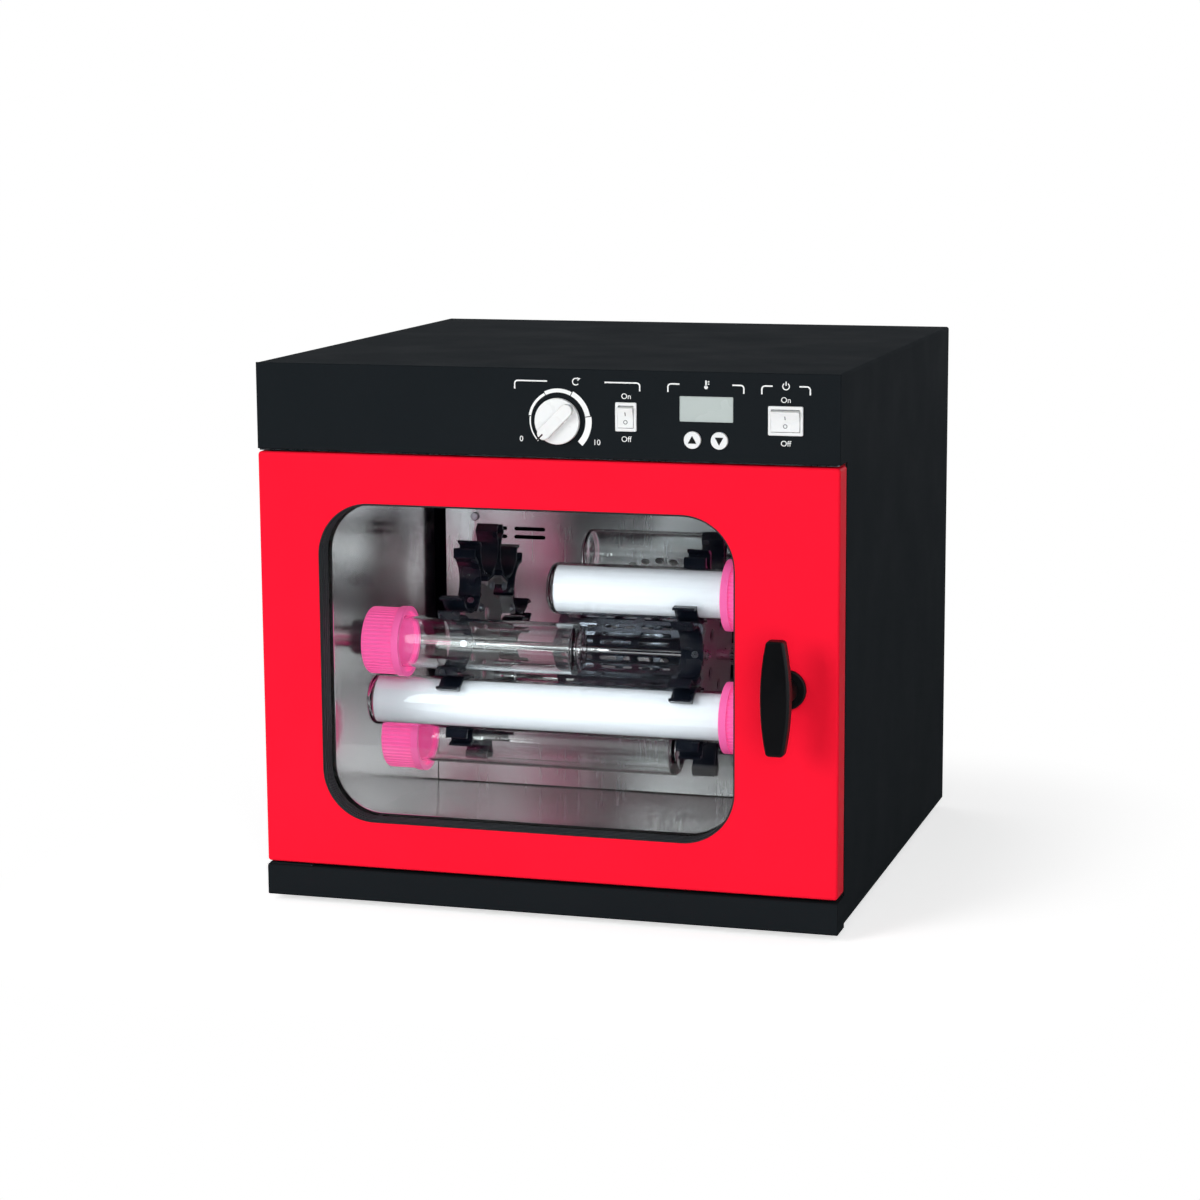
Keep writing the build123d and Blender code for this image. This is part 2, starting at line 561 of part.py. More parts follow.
# ================================================================ rear of the case
VENT_X = (-90.0, 0.0, 90.0)
VENT_ROWS = 8
VENT_PITCH = 9.0
VENT_Z = Z0 + CASE_H / 2 - 3.0
INLET_SPOT = (HALF_W - 60.0, Z0 + 45.0)
INLET_W = 30.0
INLET_H = 23.0
FUSE_W = 12.0
PIN_DEEP = 5.0                  # inlet pins behind the flange
SIDE_SCREW_Z = (Z0 + 26.0, VENT_Z, TOP_Z - 26.0)
rear_spots = [(sx * (HALF_W - 12), z) for sx in (-1, 1) for z in SIDE_SCREW_Z]
rear_spots += [(x, z) for x in (-70.0, 70.0) for z in (Z0 + 12.0, TOP_Z - 14)]
with BuildPart() as rear_panel:
    rear_mid = (PAN_TOP + TOP_Z - SHEET - GAP) / 2
    rear_h = TOP_Z - SHEET - GAP - PAN_TOP
    plate(facing(REAR_Y - SHEET), 2 * SIDE_CLEAR, rear_h, (0, rear_mid), SHEET)
    with BuildSketch(facing(REAR_Y - 5)):
        for x in VENT_X:
            with Locations((x, VENT_Z)):
                with GridLocations(1, VENT_PITCH, 1, VENT_ROWS):
                    SlotOverall(60, 3.6)
        with Locations(*rear_spots):
            Circle(SHANK_R)
        with Locations(INLET_SPOT):
            Rectangle(INLET_W, INLET_H + FUSE_W)
    extrude(amount=-10, mode=Mode.SUBTRACT)
finish(rear_panel, "rear_panel")


def rear_plane(y):
    """A plane that faces backwards: local x is -X, local y is Z."""
    return Plane(origin=(0, y, 0), x_dir=(-1, 0, 0), z_dir=(0, 1, 0))


with BuildPart() as case_screws:
    screws(rear_plane(REAR_Y), [(-x, z) for x, z in rear_spots])
    screws(facing(BAFFLE_Y), baffle_spots)
    for spot in foot_spots:
        with Locations((spot[0], spot[1], SCREW_HEAD)):
            Cylinder(SCREW_R, SCREW_HEAD)
    rod(Plane.XY.offset(PAN_TOP), SHANK_R, PAN_TOP - SCREW_HEAD, foot_spots)
finish(case_screws, "case_screws")

SOCKET_W = 24.5
SOCKET_H = 16.5
SOCKET_DEEP = 14.0
with BuildPart() as power_inlet:
    body = (INLET_W - 0.2, INLET_H + FUSE_W - 0.2)
    spot = (-INLET_SPOT[0], INLET_SPOT[1])
    plate(rear_plane(REAR_Y + INLET_OUT), body[0] + 4, body[1] + 4, spot, INLET_OUT, 2.0)
    plate(rear_plane(REAR_Y), *body, spot, 22)
    socket = (spot[0], spot[1] - FUSE_W / 2)
    plate(rear_plane(REAR_Y + INLET_OUT), SOCKET_W, SOCKET_H, socket, SOCKET_DEEP, 3.0, Mode.SUBTRACT)
    drawer = (spot[0], spot[1] + INLET_H / 2)
    plate(rear_plane(REAR_Y + INLET_OUT), 24, 8, drawer, 12, 0.8, Mode.SUBTRACT)
    for dx, dz in ((-7, -2), (7, -2), (0, 2.5)):
        pin = (socket[0] + dx, socket[1] + dz)
        plate(rear_plane(REAR_Y + INLET_OUT - PIN_DEEP), 2, 5, pin, SOCKET_DEEP - PIN_DEEP)
    plate(rear_plane(REAR_Y + INLET_OUT - 0.4), 23.6, 7.6, drawer, 11.2, 0.6)
finish(power_inlet, "power_inlet")

# ================================================================ fan and heater
FAN_FRONT = BAFFLE_Y + 5.0
FAN_SHAFT_R = 3.0
MOTOR_FACE = WOOL_REAR + 1.5
with BuildPart() as fan_wheel:
    plate_y = FAN_FRONT + FAN_W
    rod(facing(plate_y), FAN_R, 1.2, [(0, AXIS_Z)])
    rod(facing(FAN_FRONT + 4), 8, FAN_W - 4, [(0, AXIS_Z)])
    with BuildSketch(facing(FAN_FRONT)):
        with Locations((0, AXIS_Z)):
            Circle(FAN_R)
            Circle(FAN_R - 5, mode=Mode.SUBTRACT)
    extrude(amount=-1.2)
    with BuildSketch(facing(FAN_FRONT)):
        with Locations((0, AXIS_Z)):
            with PolarLocations(FAN_R - 8, 18):
                Rectangle(15.4, 1.2, rotation=30)
    extrude(amount=-FAN_W)
    rod(facing(FAN_FRONT + 2), FAN_SHAFT_R, MOTOR_FACE + 12 - FAN_FRONT - 2, [(0, AXIS_Z)])
finish(fan_wheel, "fan_wheel")

with BuildPart() as fan_motor:
    rod(facing(MOTOR_FACE), 35, 6, [(0, AXIS_Z)])
    rod(facing(MOTOR_FACE + 6), 30, 26, [(0, AXIS_Z)])
    fillet(faces().sort_by(Axis.Y)[-1].edges(), 3)
    rod(facing(MOTOR_FACE - 1), FAN_SHAFT_R + RUN_FIT, 13.5, [(0, AXIS_Z)], Mode.SUBTRACT)
    rod(facing(LINER_REAR + LINER_T), 3.5, MOTOR_FACE - LINER_REAR - LINER_T, FAN_POSTS)
finish(fan_motor, "fan_motor")

HEATER_Y = FAN_FRONT + FAN_W / 2
with BuildPart() as heater_element:
    with BuildLine() as heater_path:
        CenterArc((0, AXIS_Z), HEATER_R, -90 + HEATER_GAP, 360 - 2 * HEATER_GAP)
    ring = heater_path.line.moved(Location(facing(HEATER_Y)))
    with BuildSketch(Plane(origin=ring @ 0, z_dir=ring % 0)):
        Circle(TUBE_R)
    sweep(path=ring)
    rod(facing(HEATER_Y - TUBE_R), TUBE_R, WOOL_REAR + 6 - HEATER_Y, HEATER_LEGS)
finish(heater_element, "heater_element")

with BuildPart() as temperature_probe:
    rod(facing(BAFFLE_Y - PROBE_REACH), PROBE_R, WOOL_REAR + 4 - BAFFLE_Y + PROBE_REACH, [PROBE_SPOT])
    fillet(faces().sort_by(Axis.Y)[0].edges(), PROBE_R * 0.6)
    rod(facing(BAFFLE_Y - 2), PROBE_R + 3, 2, [PROBE_SPOT])
finish(temperature_probe, "temperature_probe")

# ================================================================ carousel drive
BELT_X = -(SKIN_X - 2.5 - BELT_W)
MOTOR_FLANGE_X = BELT_X + 4.0 + BELT_W


def belt_face(radius_grow):
    """The outline round both pulleys, grown by a radius, on the plane across the belt."""
    with BuildSketch(mode=Mode.PRIVATE) as outline:
        Circle(PULLEY_R + radius_grow)
        with Locations((-(MOTOR_Y - AXIS_Y), 0)):
            Circle(MOTOR_PULLEY_R + radius_grow)
        make_hull()
    return outline.sketch


with BuildPart() as drive_belt:
    with BuildSketch(across(BELT_X)):
        add(belt_face(GAP + BELT_T))
        add(belt_face(GAP), mode=Mode.SUBTRACT)
    extrude(amount=BELT_W)
finish(drive_belt, "drive_belt")

SPINDLE_X = BELT_X - BELT_W - 0.5
with BuildPart() as driven_pulley:
    rod(across(BELT_X - BELT_W), PULLEY_R, BELT_W)
    for x in (BELT_X - BELT_W - 1, BELT_X):
        rod(across(x), PULLEY_R + 3, 1)
    rod(across(BELT_X - BELT_W - 2), HUB_R, BELT_W + 4, mode=Mode.SUBTRACT)
finish(driven_pulley, "driven_pulley")

HUB_END = -WALL_X + 40
with BuildPart() as drive_hub:
    rod(across(SPINDLE_X), HUB_R, HUB_END - SPINDLE_X)
    fillet(faces().sort_by(Axis.X)[-1].edges(), 0.8)
    rod(across(HUB_END - 16), SHAFT_R, 20, mode=Mode.SUBTRACT)
finish(drive_hub, "drive_hub")

with BuildPart() as hub_bearing:
    rod(across(-WALL_X), HUB_BOSS_R, 17)
    fillet(faces().sort_by(Axis.X)[-1].edges(), 1)
    rod(across(-WALL_X - LINER_T - 6), HUB_BOSS_R - 3, LINER_T + 6)
    rod(across(-WALL_X - 10), HUB_R + RUN_FIT, 40, mode=Mode.SUBTRACT)
finish(hub_bearing, "hub_bearing")

with BuildPart() as motor_pulley:
    motor_axis = across(BELT_X - BELT_W, MOTOR_Y)
    rod(motor_axis, MOTOR_PULLEY_R, BELT_W)
    rod(across(BELT_X, MOTOR_Y), MOTOR_PULLEY_R + 2.5, 1)
    rod(across(BELT_X - BELT_W - 1, MOTOR_Y), 2.5, MOTOR_FLANGE_X + 14 - BELT_X + BELT_W)
finish(motor_pulley, "motor_pulley")

with BuildPart() as drive_motor:
    rod(across(MOTOR_FLANGE_X + SHEET + 0.8, MOTOR_Y), MOTOR_R, MOTOR_L)
    fillet(faces().sort_by(Axis.X)[-1].edges(), 2)
    rod(across(MOTOR_FLANGE_X, MOTOR_Y), 2.5 + RUN_FIT, 14.5, mode=Mode.SUBTRACT)
finish(drive_motor, "drive_motor")

with BuildPart() as motor_bracket:
    bracket_x = (MOTOR_FLANGE_X, MOTOR_FLANGE_X + SHEET + 0.8)
    bracket_y = (WOOL_REAR + 3, REAR_Y - SHEET)
    bracket_z = (AXIS_Z - 24, AXIS_Z + 38)
    slab(bracket_x, bracket_y, bracket_z)
    slab((bracket_x[1], bracket_x[1] + 14), (bracket_y[1] - 2, bracket_y[1]), (AXIS_Z + 22, bracket_z[1]))
    rod(across(MOTOR_FLANGE_X - 1, MOTOR_Y), 6, 5, mode=Mode.SUBTRACT)
finish(motor_bracket, "motor_bracket")

# ================================================================ door
PIN_SPOT = (HINGE_X - HALF_W, deep(HINGE_Y))
PIN_REACH = 12.0
with BuildPart() as hinge_brackets:
    leaf_x = (-HALF_W + 1, -HALF_W + 34)
    leaf_y = (deep(2), deep(FRAME_DEPTH))
    slab(leaf_x, leaf_y, (BAR_TOP, BAR_TOP + BRACKET_T))
    slab(leaf_x, leaf_y, (HEAD_LOW - BRACKET_T, HEAD_LOW))
    with Locations((*PIN_SPOT, (BAR_TOP + HEAD_LOW) / 2)):
        Cylinder(PIN_R, HEAD_LOW - BAR_TOP + 1, mode=Mode.SUBTRACT)
finish(hinge_brackets, "hinge_brackets")

with BuildPart() as hinge_pins:
    rod(Plane.XY.offset(DOOR_LOW + PIN_REACH), PIN_R, DOOR_LOW + PIN_REACH - BAR_TOP, [PIN_SPOT])
    rod(Plane.XY.offset(HEAD_LOW), PIN_R, HEAD_LOW - DOOR_HIGH + PIN_REACH, [PIN_SPOT])
finish(hinge_pins, "hinge_pins")

with BuildPart() as hinge_bushes:
    rod(Plane.XY.offset(DOOR_LOW + BUSH_L + 3), BUSH_R, BUSH_L + 3, [PIN_SPOT])
    rod(Plane.XY.offset(DOOR_HIGH), BUSH_R, BUSH_L + 3, [PIN_SPOT])
    for top in (DOOR_LOW + PIN_REACH + 1, DOOR_HIGH):
        rod(Plane.XY.offset(top), PIN_R + RUN_FIT, PIN_REACH + 1, [PIN_SPOT], Mode.SUBTRACT)
finish(hinge_bushes, "hinge_bushes")


def window(y, grow, depth, mode=Mode.ADD):
    """The window opening's outline, grown or shrunk, cut or built through a depth."""
    size = (WINDOW_W + 2 * grow, WINDOW_H + 2 * grow)
    plate(facing(y), *size, WINDOW_MID, depth, WINDOW_R + grow, mode)


with BuildPart() as door_shell:
    slab((-HALF_W, HALF_W), (deep(0), deep(DOOR_T)), (DOOR_LOW, DOOR_HIGH))
    fillet(edges().filter_by(Axis.Y), DOOR_EDGE_R)
    fillet(faces().sort_by(Axis.Y)[0].edges(), DOOR_EDGE_R * 0.9)
    inner = HALF_W - DOOR_SKIN
    inner_z = (DOOR_LOW + DOOR_SKIN, DOOR_HIGH - DOOR_SKIN)
    slab((-inner, inner), (deep(DOOR_SKIN), deep(DOOR_T) + 1), inner_z, Mode.SUBTRACT)
    window(deep(-1), 0, 5, Mode.SUBTRACT)
    rod(facing(deep(-1)), SPINDLE_R + GAP, 5, [LATCH], Mode.SUBTRACT)
    with Locations((*PIN_SPOT, (DOOR_LOW + DOOR_HIGH) / 2)):
        Cylinder(BUSH_R, DOOR_H + 2, mode=Mode.SUBTRACT)
finish(door_shell, "door_shell")

door_spots = [(sx * (HALF_W - 30), DOOR_LOW + z) for sx in (-1, 1) for z in (18.0, DOOR_H - 18)]
with BuildPart() as door_back:
    back = HALF_W - DOOR_SKIN
    back_h = DOOR_H - 2 * DOOR_SKIN
    back_y = deep(DOOR_T - DOOR_BACK_SHEET)
    plate(facing(back_y), 2 * back, back_h, (0, (DOOR_LOW + DOOR_HIGH) / 2), DOOR_BACK_SHEET, 1)
    window(back_y - 1, -GASKET_T - 1, 5, Mode.SUBTRACT)
    rod(facing(back_y - 1), SPINDLE_R + GAP, 5, [LATCH], Mode.SUBTRACT)
    rod(facing(back_y - 1), SHANK_R, 5, door_spots, Mode.SUBTRACT)
finish(door_back, "door_back")

with BuildPart() as door_insulation:
    wool = HALF_W - DOOR_SKIN - WOOL_GAP
    slab((-wool, wool), (deep(DOOR_SKIN + WOOL_GAP), back_y - WOOL_GAP), (DOOR_LOW + 2, DOOR_HIGH - 2))
    window(deep(0), GLASS_LAP + 2, DOOR_T, Mode.SUBTRACT)
    rod(facing(deep(0)), SPINDLE_R + 3, DOOR_T, [LATCH], Mode.SUBTRACT)
    rod(facing(deep(0)), SHANK_R + WOOL_GAP, DOOR_T, door_spots, Mode.SUBTRACT)
    bush_x = (-HALF_W, -HALF_W + HINGE_X + BUSH_R + WOOL_GAP)
    for z in ((DOOR_LOW, DOOR_LOW + BUSH_L + 5), (DOOR_HIGH - BUSH_L - 5, DOOR_HIGH)):
        slab(bush_x, (deep(0), deep(DOOR_T)), z, Mode.SUBTRACT)
finish(door_insulation, "door_insulation")

GLASS_Y = back_y - GLASS_T
with BuildPart() as door_glass:
    window(GLASS_Y, GLASS_LAP, GLASS_T)
finish(door_glass, "door_glass")

# gasket: grips the opening's edge, then steps inwards towards the glass
with BuildPart() as window_gasket:
    window(deep(0), -0.1, DOOR_SKIN)
    window(deep(DOOR_SKIN), GLASS_LAP, GLASS_Y - deep(DOOR_SKIN))
    window(deep(-1), -GASKET_LIP, DOOR_T, Mode.SUBTRACT)
    RIBS = 4
    rib_pitch = (GLASS_Y - deep(DOOR_SKIN)) / RIBS
    for rib in range(RIBS):
        start = deep(DOOR_SKIN) + rib * rib_pitch + 0.4
        window(start, 0, rib_pitch * 0.5)
        window(start - 0.1, -GASKET_T, rib_pitch * 0.5 + 0.2, Mode.SUBTRACT)
finish(window_gasket, "window_gasket")

with BuildPart() as door_seal:
    seal_mid = (0, (DOOR_LOW + DOOR_HIGH) / 2)
    outer = (CASE_W - 2 * SEAL_INSET, DOOR_H - 2 * SEAL_INSET_Z)
    inner = (outer[0] - 2 * SEAL_W, outer[1] - 2 * SEAL_W)
    seal_t = FRAME_DEPTH - DOOR_T - GAP
    plate(facing(deep(DOOR_T)), *outer, seal_mid, seal_t, 8)
    plate(facing(deep(DOOR_T)), *inner, seal_mid, seal_t, 5, Mode.SUBTRACT)
    fillet(faces().sort_by(Axis.Y)[-1].edges(), 1.2)
finish(door_seal, "door_seal")

with BuildPart() as door_screws:
    screws(rear_plane(deep(DOOR_T)), [(-x, z) for x, z in door_spots])
finish(door_screws, "door_screws")

with BuildPart() as latch_boss:
    rod(facing(deep(-BOSS_T)), BOSS_R, BOSS_T, [LATCH])
    fillet(faces().sort_by(Axis.Y)[0].edges(), 1.2)
    rod(facing(deep(-BOSS_T - 1)), COLLAR_R + RUN_FIT, 10, [LATCH], Mode.SUBTRACT)
finish(latch_boss, "latch_boss")

# latch handle: a boat-shaped grip on a round collar
with BuildPart() as latch_handle:
    with BuildSketch(facing(deep(-GRIP_OUT))):
        with BuildLine():
            end_x = GRIP_END_W / 2
            end_z = GRIP_L / 2
            Line((LATCH[0] - end_x, LATCH[1] + end_z), (LATCH[0] + end_x, LATCH[1] + end_z))
            ThreePointArc(
                (LATCH[0] + end_x, LATCH[1] + end_z),
                (LATCH[0] + GRIP_W / 2, LATCH[1]),
                (LATCH[0] + end_x, LATCH[1] - end_z),
            )
            Line((LATCH[0] + end_x, LATCH[1] - end_z), (LATCH[0] - end_x, LATCH[1] - end_z))
            ThreePointArc(
                (LATCH[0] - end_x, LATCH[1] - end_z),
                (LATCH[0] - GRIP_W / 2, LATCH[1]),
                (LATCH[0] - end_x, LATCH[1] + end_z),
            )
        make_face()
    extrude(amount=-GRIP_T)
    fillet(edges().filter_by(Axis.Y), 3)
    fillet(edges().group_by(Axis.Y)[0] + edges().group_by(Axis.Y)[-1], 2.2)
    rod(facing(deep(-GRIP_OUT + GRIP_T / 2)), COLLAR_R, GRIP_OUT - GRIP_T / 2 - GAP, [LATCH])
    rod(facing(deep(-GRIP_OUT + GRIP_T / 2)), SPINDLE_R, GRIP_OUT, [LATCH], Mode.SUBTRACT)
finish(latch_handle, "latch_handle")

CAM_END = CAM_DEPTH + CAM_T
with BuildPart() as latch_spindle:
    rod(facing(deep(-GRIP_OUT + GRIP_T / 2)), SPINDLE_R, GRIP_OUT - GRIP_T / 2 + CAM_END + 2, [LATCH])
finish(latch_spindle, "latch_spindle")

with BuildPart() as latch_cam:
    with BuildSketch(facing(deep(CAM_DEPTH))):
        with Locations((LATCH[0] + CAM_L / 2, LATCH[1])):
            RectangleRounded(CAM_L, CAM_W, 3)
        with Locations(LATCH):
            Circle(8)
            Circle(SPINDLE_R, mode=Mode.SUBTRACT)
    extrude(amount=-CAM_T)
finish(latch_cam, "latch_cam")

# ================================================================ carousel
VERTEX_PHASE = STATION_PHASE
CLIP_IN = BOTTLE_R + 0.2
CLIP_OUT = CLIP_IN + CLIP_T
PAD_DEPTH = CLIP_IN + 1.6       # recess for the screw head, from the bottle's axis
FOOT_DEPTH = CLIP_OUT + 1.8
TAB_R = STATION_R - FOOT_DEPTH  # outer face of the tabs that carry the clips
TAB_T = 2.0
TAB_HALF = 8.0
LIP_L = 5.5
STATION_ANGLES = [STATION_PHASE + 360 / STATIONS * k for k in range(STATIONS)]
VERTEX_ANGLES = STATION_ANGLES[::2]
ROD_ANGLES = VERTEX_ANGLES[::3]
LEFT_CLIP_X = LEFT_PLATE_X - 4.5
RIGHT_CLIP_X = RIGHT_PLATE_X - 12.0


def polar(radius, angle):
    """A point on the plane across the carousel, and the turn that faces it outwards."""
    turn = radians(angle)
    return Location((radius * cos(turn), radius * sin(turn), 0), (0, 0, angle))


with BuildPart() as carousel_shaft:
    rod(across(HUB_END - 15), SHAFT_R, RIGHT_PLATE_X + 16 - HUB_END + 15)
    rod(across(RIGHT_PLATE_X + 16), SHAFT_END_R, WALL_X - 5 - RIGHT_PLATE_X - 16)
    fillet(faces().sort_by(Axis.X)[-1].edges(), 0.8)
    rod(across(RIGHT_PLATE_X + 13), 6.5, 4)
finish(carousel_shaft, "carousel_shaft")

with BuildPart() as shaft_cradle:
    cradle_x = (WALL_X - 16, WALL_X)
    slab(cradle_x, (AXIS_Y - 13, AXIS_Y + 13), (AXIS_Z - 24, AXIS_Z + 12))
    fillet(edges().filter_by(Axis.X), 4)
    rod(across(cradle_x[0] - 1), SHAFT_END_R + RUN_FIT, 30, mode=Mode.SUBTRACT)
    mouth = SHAFT_END_R + RUN_FIT
    slab((cradle_x[0] - 1, WALL_X), (AXIS_Y - mouth, AXIS_Y + mouth), (AXIS_Z, AXIS_Z + 20), Mode.SUBTRACT)
    rod(across(cradle_x[0] - 1), 2.6, 3, [(0, -16)], Mode.SUBTRACT)
finish(shaft_cradle, "shaft_cradle")

with BuildPart() as end_plates:
    for x in (LEFT_PLATE_X, RIGHT_PLATE_X):
        with BuildSketch(across(x)):
            with Locations(Location((0, 0, 0), (0, 0, VERTEX_PHASE))):
                RegularPolygon(PLATE_R, 5)
            fillet(vertices(), 9)
            for angle in STATION_ANGLES:
                with Locations(polar((TAB_R + ROD_CIRCLE - 6) / 2, angle)):
                    Rectangle(TAB_R - ROD_CIRCLE + 6, 2 * TAB_HALF)
            Circle(SHAFT_R + 0.1, mode=Mode.SUBTRACT)
            for angle in ROD_ANGLES:
                with Locations(polar(ROD_CIRCLE, angle)):
                    Circle(ROD_R, mode=Mode.SUBTRACT)
            with PolarLocations(24, 5, start_angle=VERTEX_PHASE + 36):
                Circle(5, mode=Mode.SUBTRACT)
        extrude(amount=-PLATE_T)
    for x in (LEFT_CLIP_X, RIGHT_CLIP_X):
        with BuildSketch(across(x)):
            for angle in STATION_ANGLES:
                with Locations(polar(TAB_R - TAB_T / 2, angle)):
                    Rectangle(TAB_T, 2 * TAB_HALF)
        extrude(amount=-CLIP_W)
finish(end_plates, "end_plates")

SLEEVE_R = 4.8
SLEEVE_L = 16.5
with BuildPart() as tie_rods:
    rod_x = (LEFT_PLATE_X - 5, RIGHT_PLATE_X + PLATE_T + 5)
    for angle in ROD_ANGLES:
        turn = radians(angle)
        spot = (ROD_CIRCLE * cos(turn), ROD_CIRCLE * sin(turn))
        rod(across(rod_x[0]), ROD_R, rod_x[1] - rod_x[0], [spot])
        rod(across(LEFT_PLATE_X + PLATE_T), SLEEVE_R, SLEEVE_L, [spot])
        rod(across(RIGHT_PLATE_X - 8), SLEEVE_R, 8, [spot])
        rod(across(LEFT_PLATE_X - 3), 4, 3, [spot])
        rod(across(RIGHT_PLATE_X + PLATE_T), 4, 3, [spot])
finish(tie_rods, "tie_rods")

DRUM_X = (RIGHT_PLATE_X - 115, RIGHT_PLATE_X)
DRUM_SLOT_L = 24.0
DRUM_SLOT_W = 4.0
DRUM_COLUMN = 29.2
DRUM_ROW = 7.6
DRUM_END = 38.4                 # last slot's middle from the right plate
facet = DRUM_R * cos(radians(36))
with BuildPart() as drum:
    with BuildSketch(across(DRUM_X[0])):
        with Locations(Location((0, 0, 0), (0, 0, VERTEX_PHASE))):
            RegularPolygon(DRUM_R, 5)
            RegularPolygon(DRUM_R - DRUM_T / cos(radians(36)), 5, mode=Mode.SUBTRACT)
    extrude(amount=-(DRUM_X[1] - DRUM_X[0]))
    columns = [DRUM_X[1] - DRUM_END - DRUM_COLUMN * k for k in range(3)]
    for angle in VERTEX_ANGLES:
        turn = radians(angle + 36)
        outward = (0, -cos(turn), sin(turn))
        face_plane = Plane(origin=(0, AXIS_Y, AXIS_Z), x_dir=(1, 0, 0), z_dir=outward)
        with BuildSketch(face_plane.offset(facet + 2)):
            for column in columns:
                with Locations((column, 0)):
                    with GridLocations(1, DRUM_ROW, 1, 5):
                        SlotOverall(DRUM_SLOT_L, DRUM_SLOT_W)
        extrude(amount=-6, mode=Mode.SUBTRACT)
finish(drum, "drum")

# one clip's outline, with its bottle axis at the origin and its foot towards -x
with BuildSketch() as clip_face:
    Circle(CLIP_OUT)
    with Locations((-(FOOT_DEPTH + CLIP_IN - 2) / 2, 0)):
        Rectangle(FOOT_DEPTH - CLIP_IN + 2, 2 * TAB_HALF)
    Circle(CLIP_IN, mode=Mode.SUBTRACT)
    with Locations((-PAD_DEPTH / 2, 0)):
        Rectangle(PAD_DEPTH, 7, mode=Mode.SUBTRACT)
    reach = 2 * CLIP_OUT
    with BuildLine():
        rise = reach * tan(radians(CLIP_MOUTH))
        Polyline((0, 0), (reach, rise), (reach, -rise), close=True)
    make_face(mode=Mode.SUBTRACT)
    arm_r = (CLIP_IN + CLIP_OUT) / 2
    for side in (-1, 1):
        turn = radians(CLIP_MOUTH)
        root = (arm_r * cos(turn), side * arm_r * sin(turn))
        lip_turn = radians(52)
        middle = (root[0] + LIP_L / 2 * cos(lip_turn) - 0.3, root[1] + side * LIP_L / 2 * sin(lip_turn))
        with Locations(Location((*middle, 0), (0, 0, side * degrees(lip_turn)))):
            SlotOverall(LIP_L + CLIP_T, CLIP_T)

OCCUPIED = {key: STATION_ANGLES[k] for key, k in (("A", 9), ("B", 1), ("C", 0), ("D", 8), ("E", 3))}
EMPTY = [angle for angle in STATION_ANGLES if angle not in OCCUPIED.values()]
for name, angles in (("clips_loaded", OCCUPIED.values()), ("clips_empty", EMPTY)):
    with BuildPart() as clips:
        for x in (LEFT_CLIP_X, RIGHT_CLIP_X):
            with BuildSketch(across(x)):
                for angle in angles:
                    with Locations(polar(STATION_R, angle)):
                        add(clip_face.sketch)
            extrude(amount=-CLIP_W)
    finish(clips, name)

with BuildPart() as clip_screws:
    for x in (LEFT_CLIP_X, RIGHT_CLIP_X):
        for angle in STATION_ANGLES:
            turn = radians(angle)
            outward = (0, -cos(turn), sin(turn))
            seat = Plane(origin=(x + CLIP_W - 6, AXIS_Y, AXIS_Z), x_dir=(1, 0, 0), z_dir=outward)
            rod(seat.offset(STATION_R - PAD_DEPTH + 1.2), 2.6, 1.2)
finish(clip_screws, "clip_screws")

BOTTLE_BASE = 3.2
SHORT_BOTTLE = 158.0
BOTTLES = {
    "A": (23.8 - WALL_X, 2 * WALL_X - 80.0, 1),     # left end, glass length, cap side
    "B": (RIGHT_PLATE_X - 110, SHORT_BOTTLE, 1),
    "C": (30.1 - WALL_X, SHORT_BOTTLE, -1),
    "D": (30.0 - WALL_X, 222.3, -1),
    "E": (RIGHT_PLATE_X - 110, SHORT_BOTTLE, 1),
}


def bottle_axis(key):
    """The plane across a bottle at its glass's closed end, with the way the glass runs."""
    left, length, side = BOTTLES[key]
    turn = radians(OCCUPIED[key])
    x = left if side > 0 else left + length
    centre = (x, AXIS_Y - STATION_R * cos(turn), AXIS_Z + STATION_R * sin(turn))
    return Plane(origin=centre, x_dir=(0, -1, 0), z_dir=(side, 0, 0)), length


with BuildPart() as bottles:
    for key in BOTTLES:
        base, length = bottle_axis(key)
        with BuildSketch(base) as wall:
            Circle(BOTTLE_R)
        extrude(wall.sketch, amount=length)
    fillet(edges().filter_by(GeomType.CIRCLE), 0.8)
    for key in BOTTLES:
        base, length = bottle_axis(key)
        with BuildSketch(base.offset(BOTTLE_BASE)) as bore:
            Circle(BOTTLE_R - BOTTLE_WALL)
        extrude(bore.sketch, amount=length, mode=Mode.SUBTRACT)
finish(bottles, "bottles")

CAP_RIBS = 52
RIB_R = CAP_R - 1.2
GROOVE_R = 0.8
SKIRT_L = 5.5                   # smooth ring at the cap's open end
CAP_MOUTH_R = 22.4
CAP_MOUTH_L = 3.0
with BuildPart() as bottle_caps:
    for key in BOTTLES:
        base, length = bottle_axis(key)
        start = base.offset(length - CAP_LAP)
        with BuildSketch(start) as ring:
            Circle(CAP_R)
        extrude(ring.sketch, amount=SKIRT_L)
        with BuildSketch(start) as ribs:
            Circle(RIB_R)
            with PolarLocations(RIB_R, CAP_RIBS):
                Circle(GROOVE_R, mode=Mode.SUBTRACT)
        extrude(ribs.sketch, amount=CAP_L - 1)
        with BuildSketch(start) as end_face:
            Circle(RIB_R - GROOVE_R)
        extrude(end_face.sketch, amount=CAP_L)
        with BuildSketch(start) as socket:
            Circle(BOTTLE_R + 0.1)
        extrude(socket.sketch, amount=CAP_L - CAP_T, mode=Mode.SUBTRACT)
        with BuildSketch(start) as mouth:
            Circle(CAP_MOUTH_R)
        extrude(mouth.sketch, amount=CAP_MOUTH_L, mode=Mode.SUBTRACT)
finish(bottle_caps, "bottle_caps")

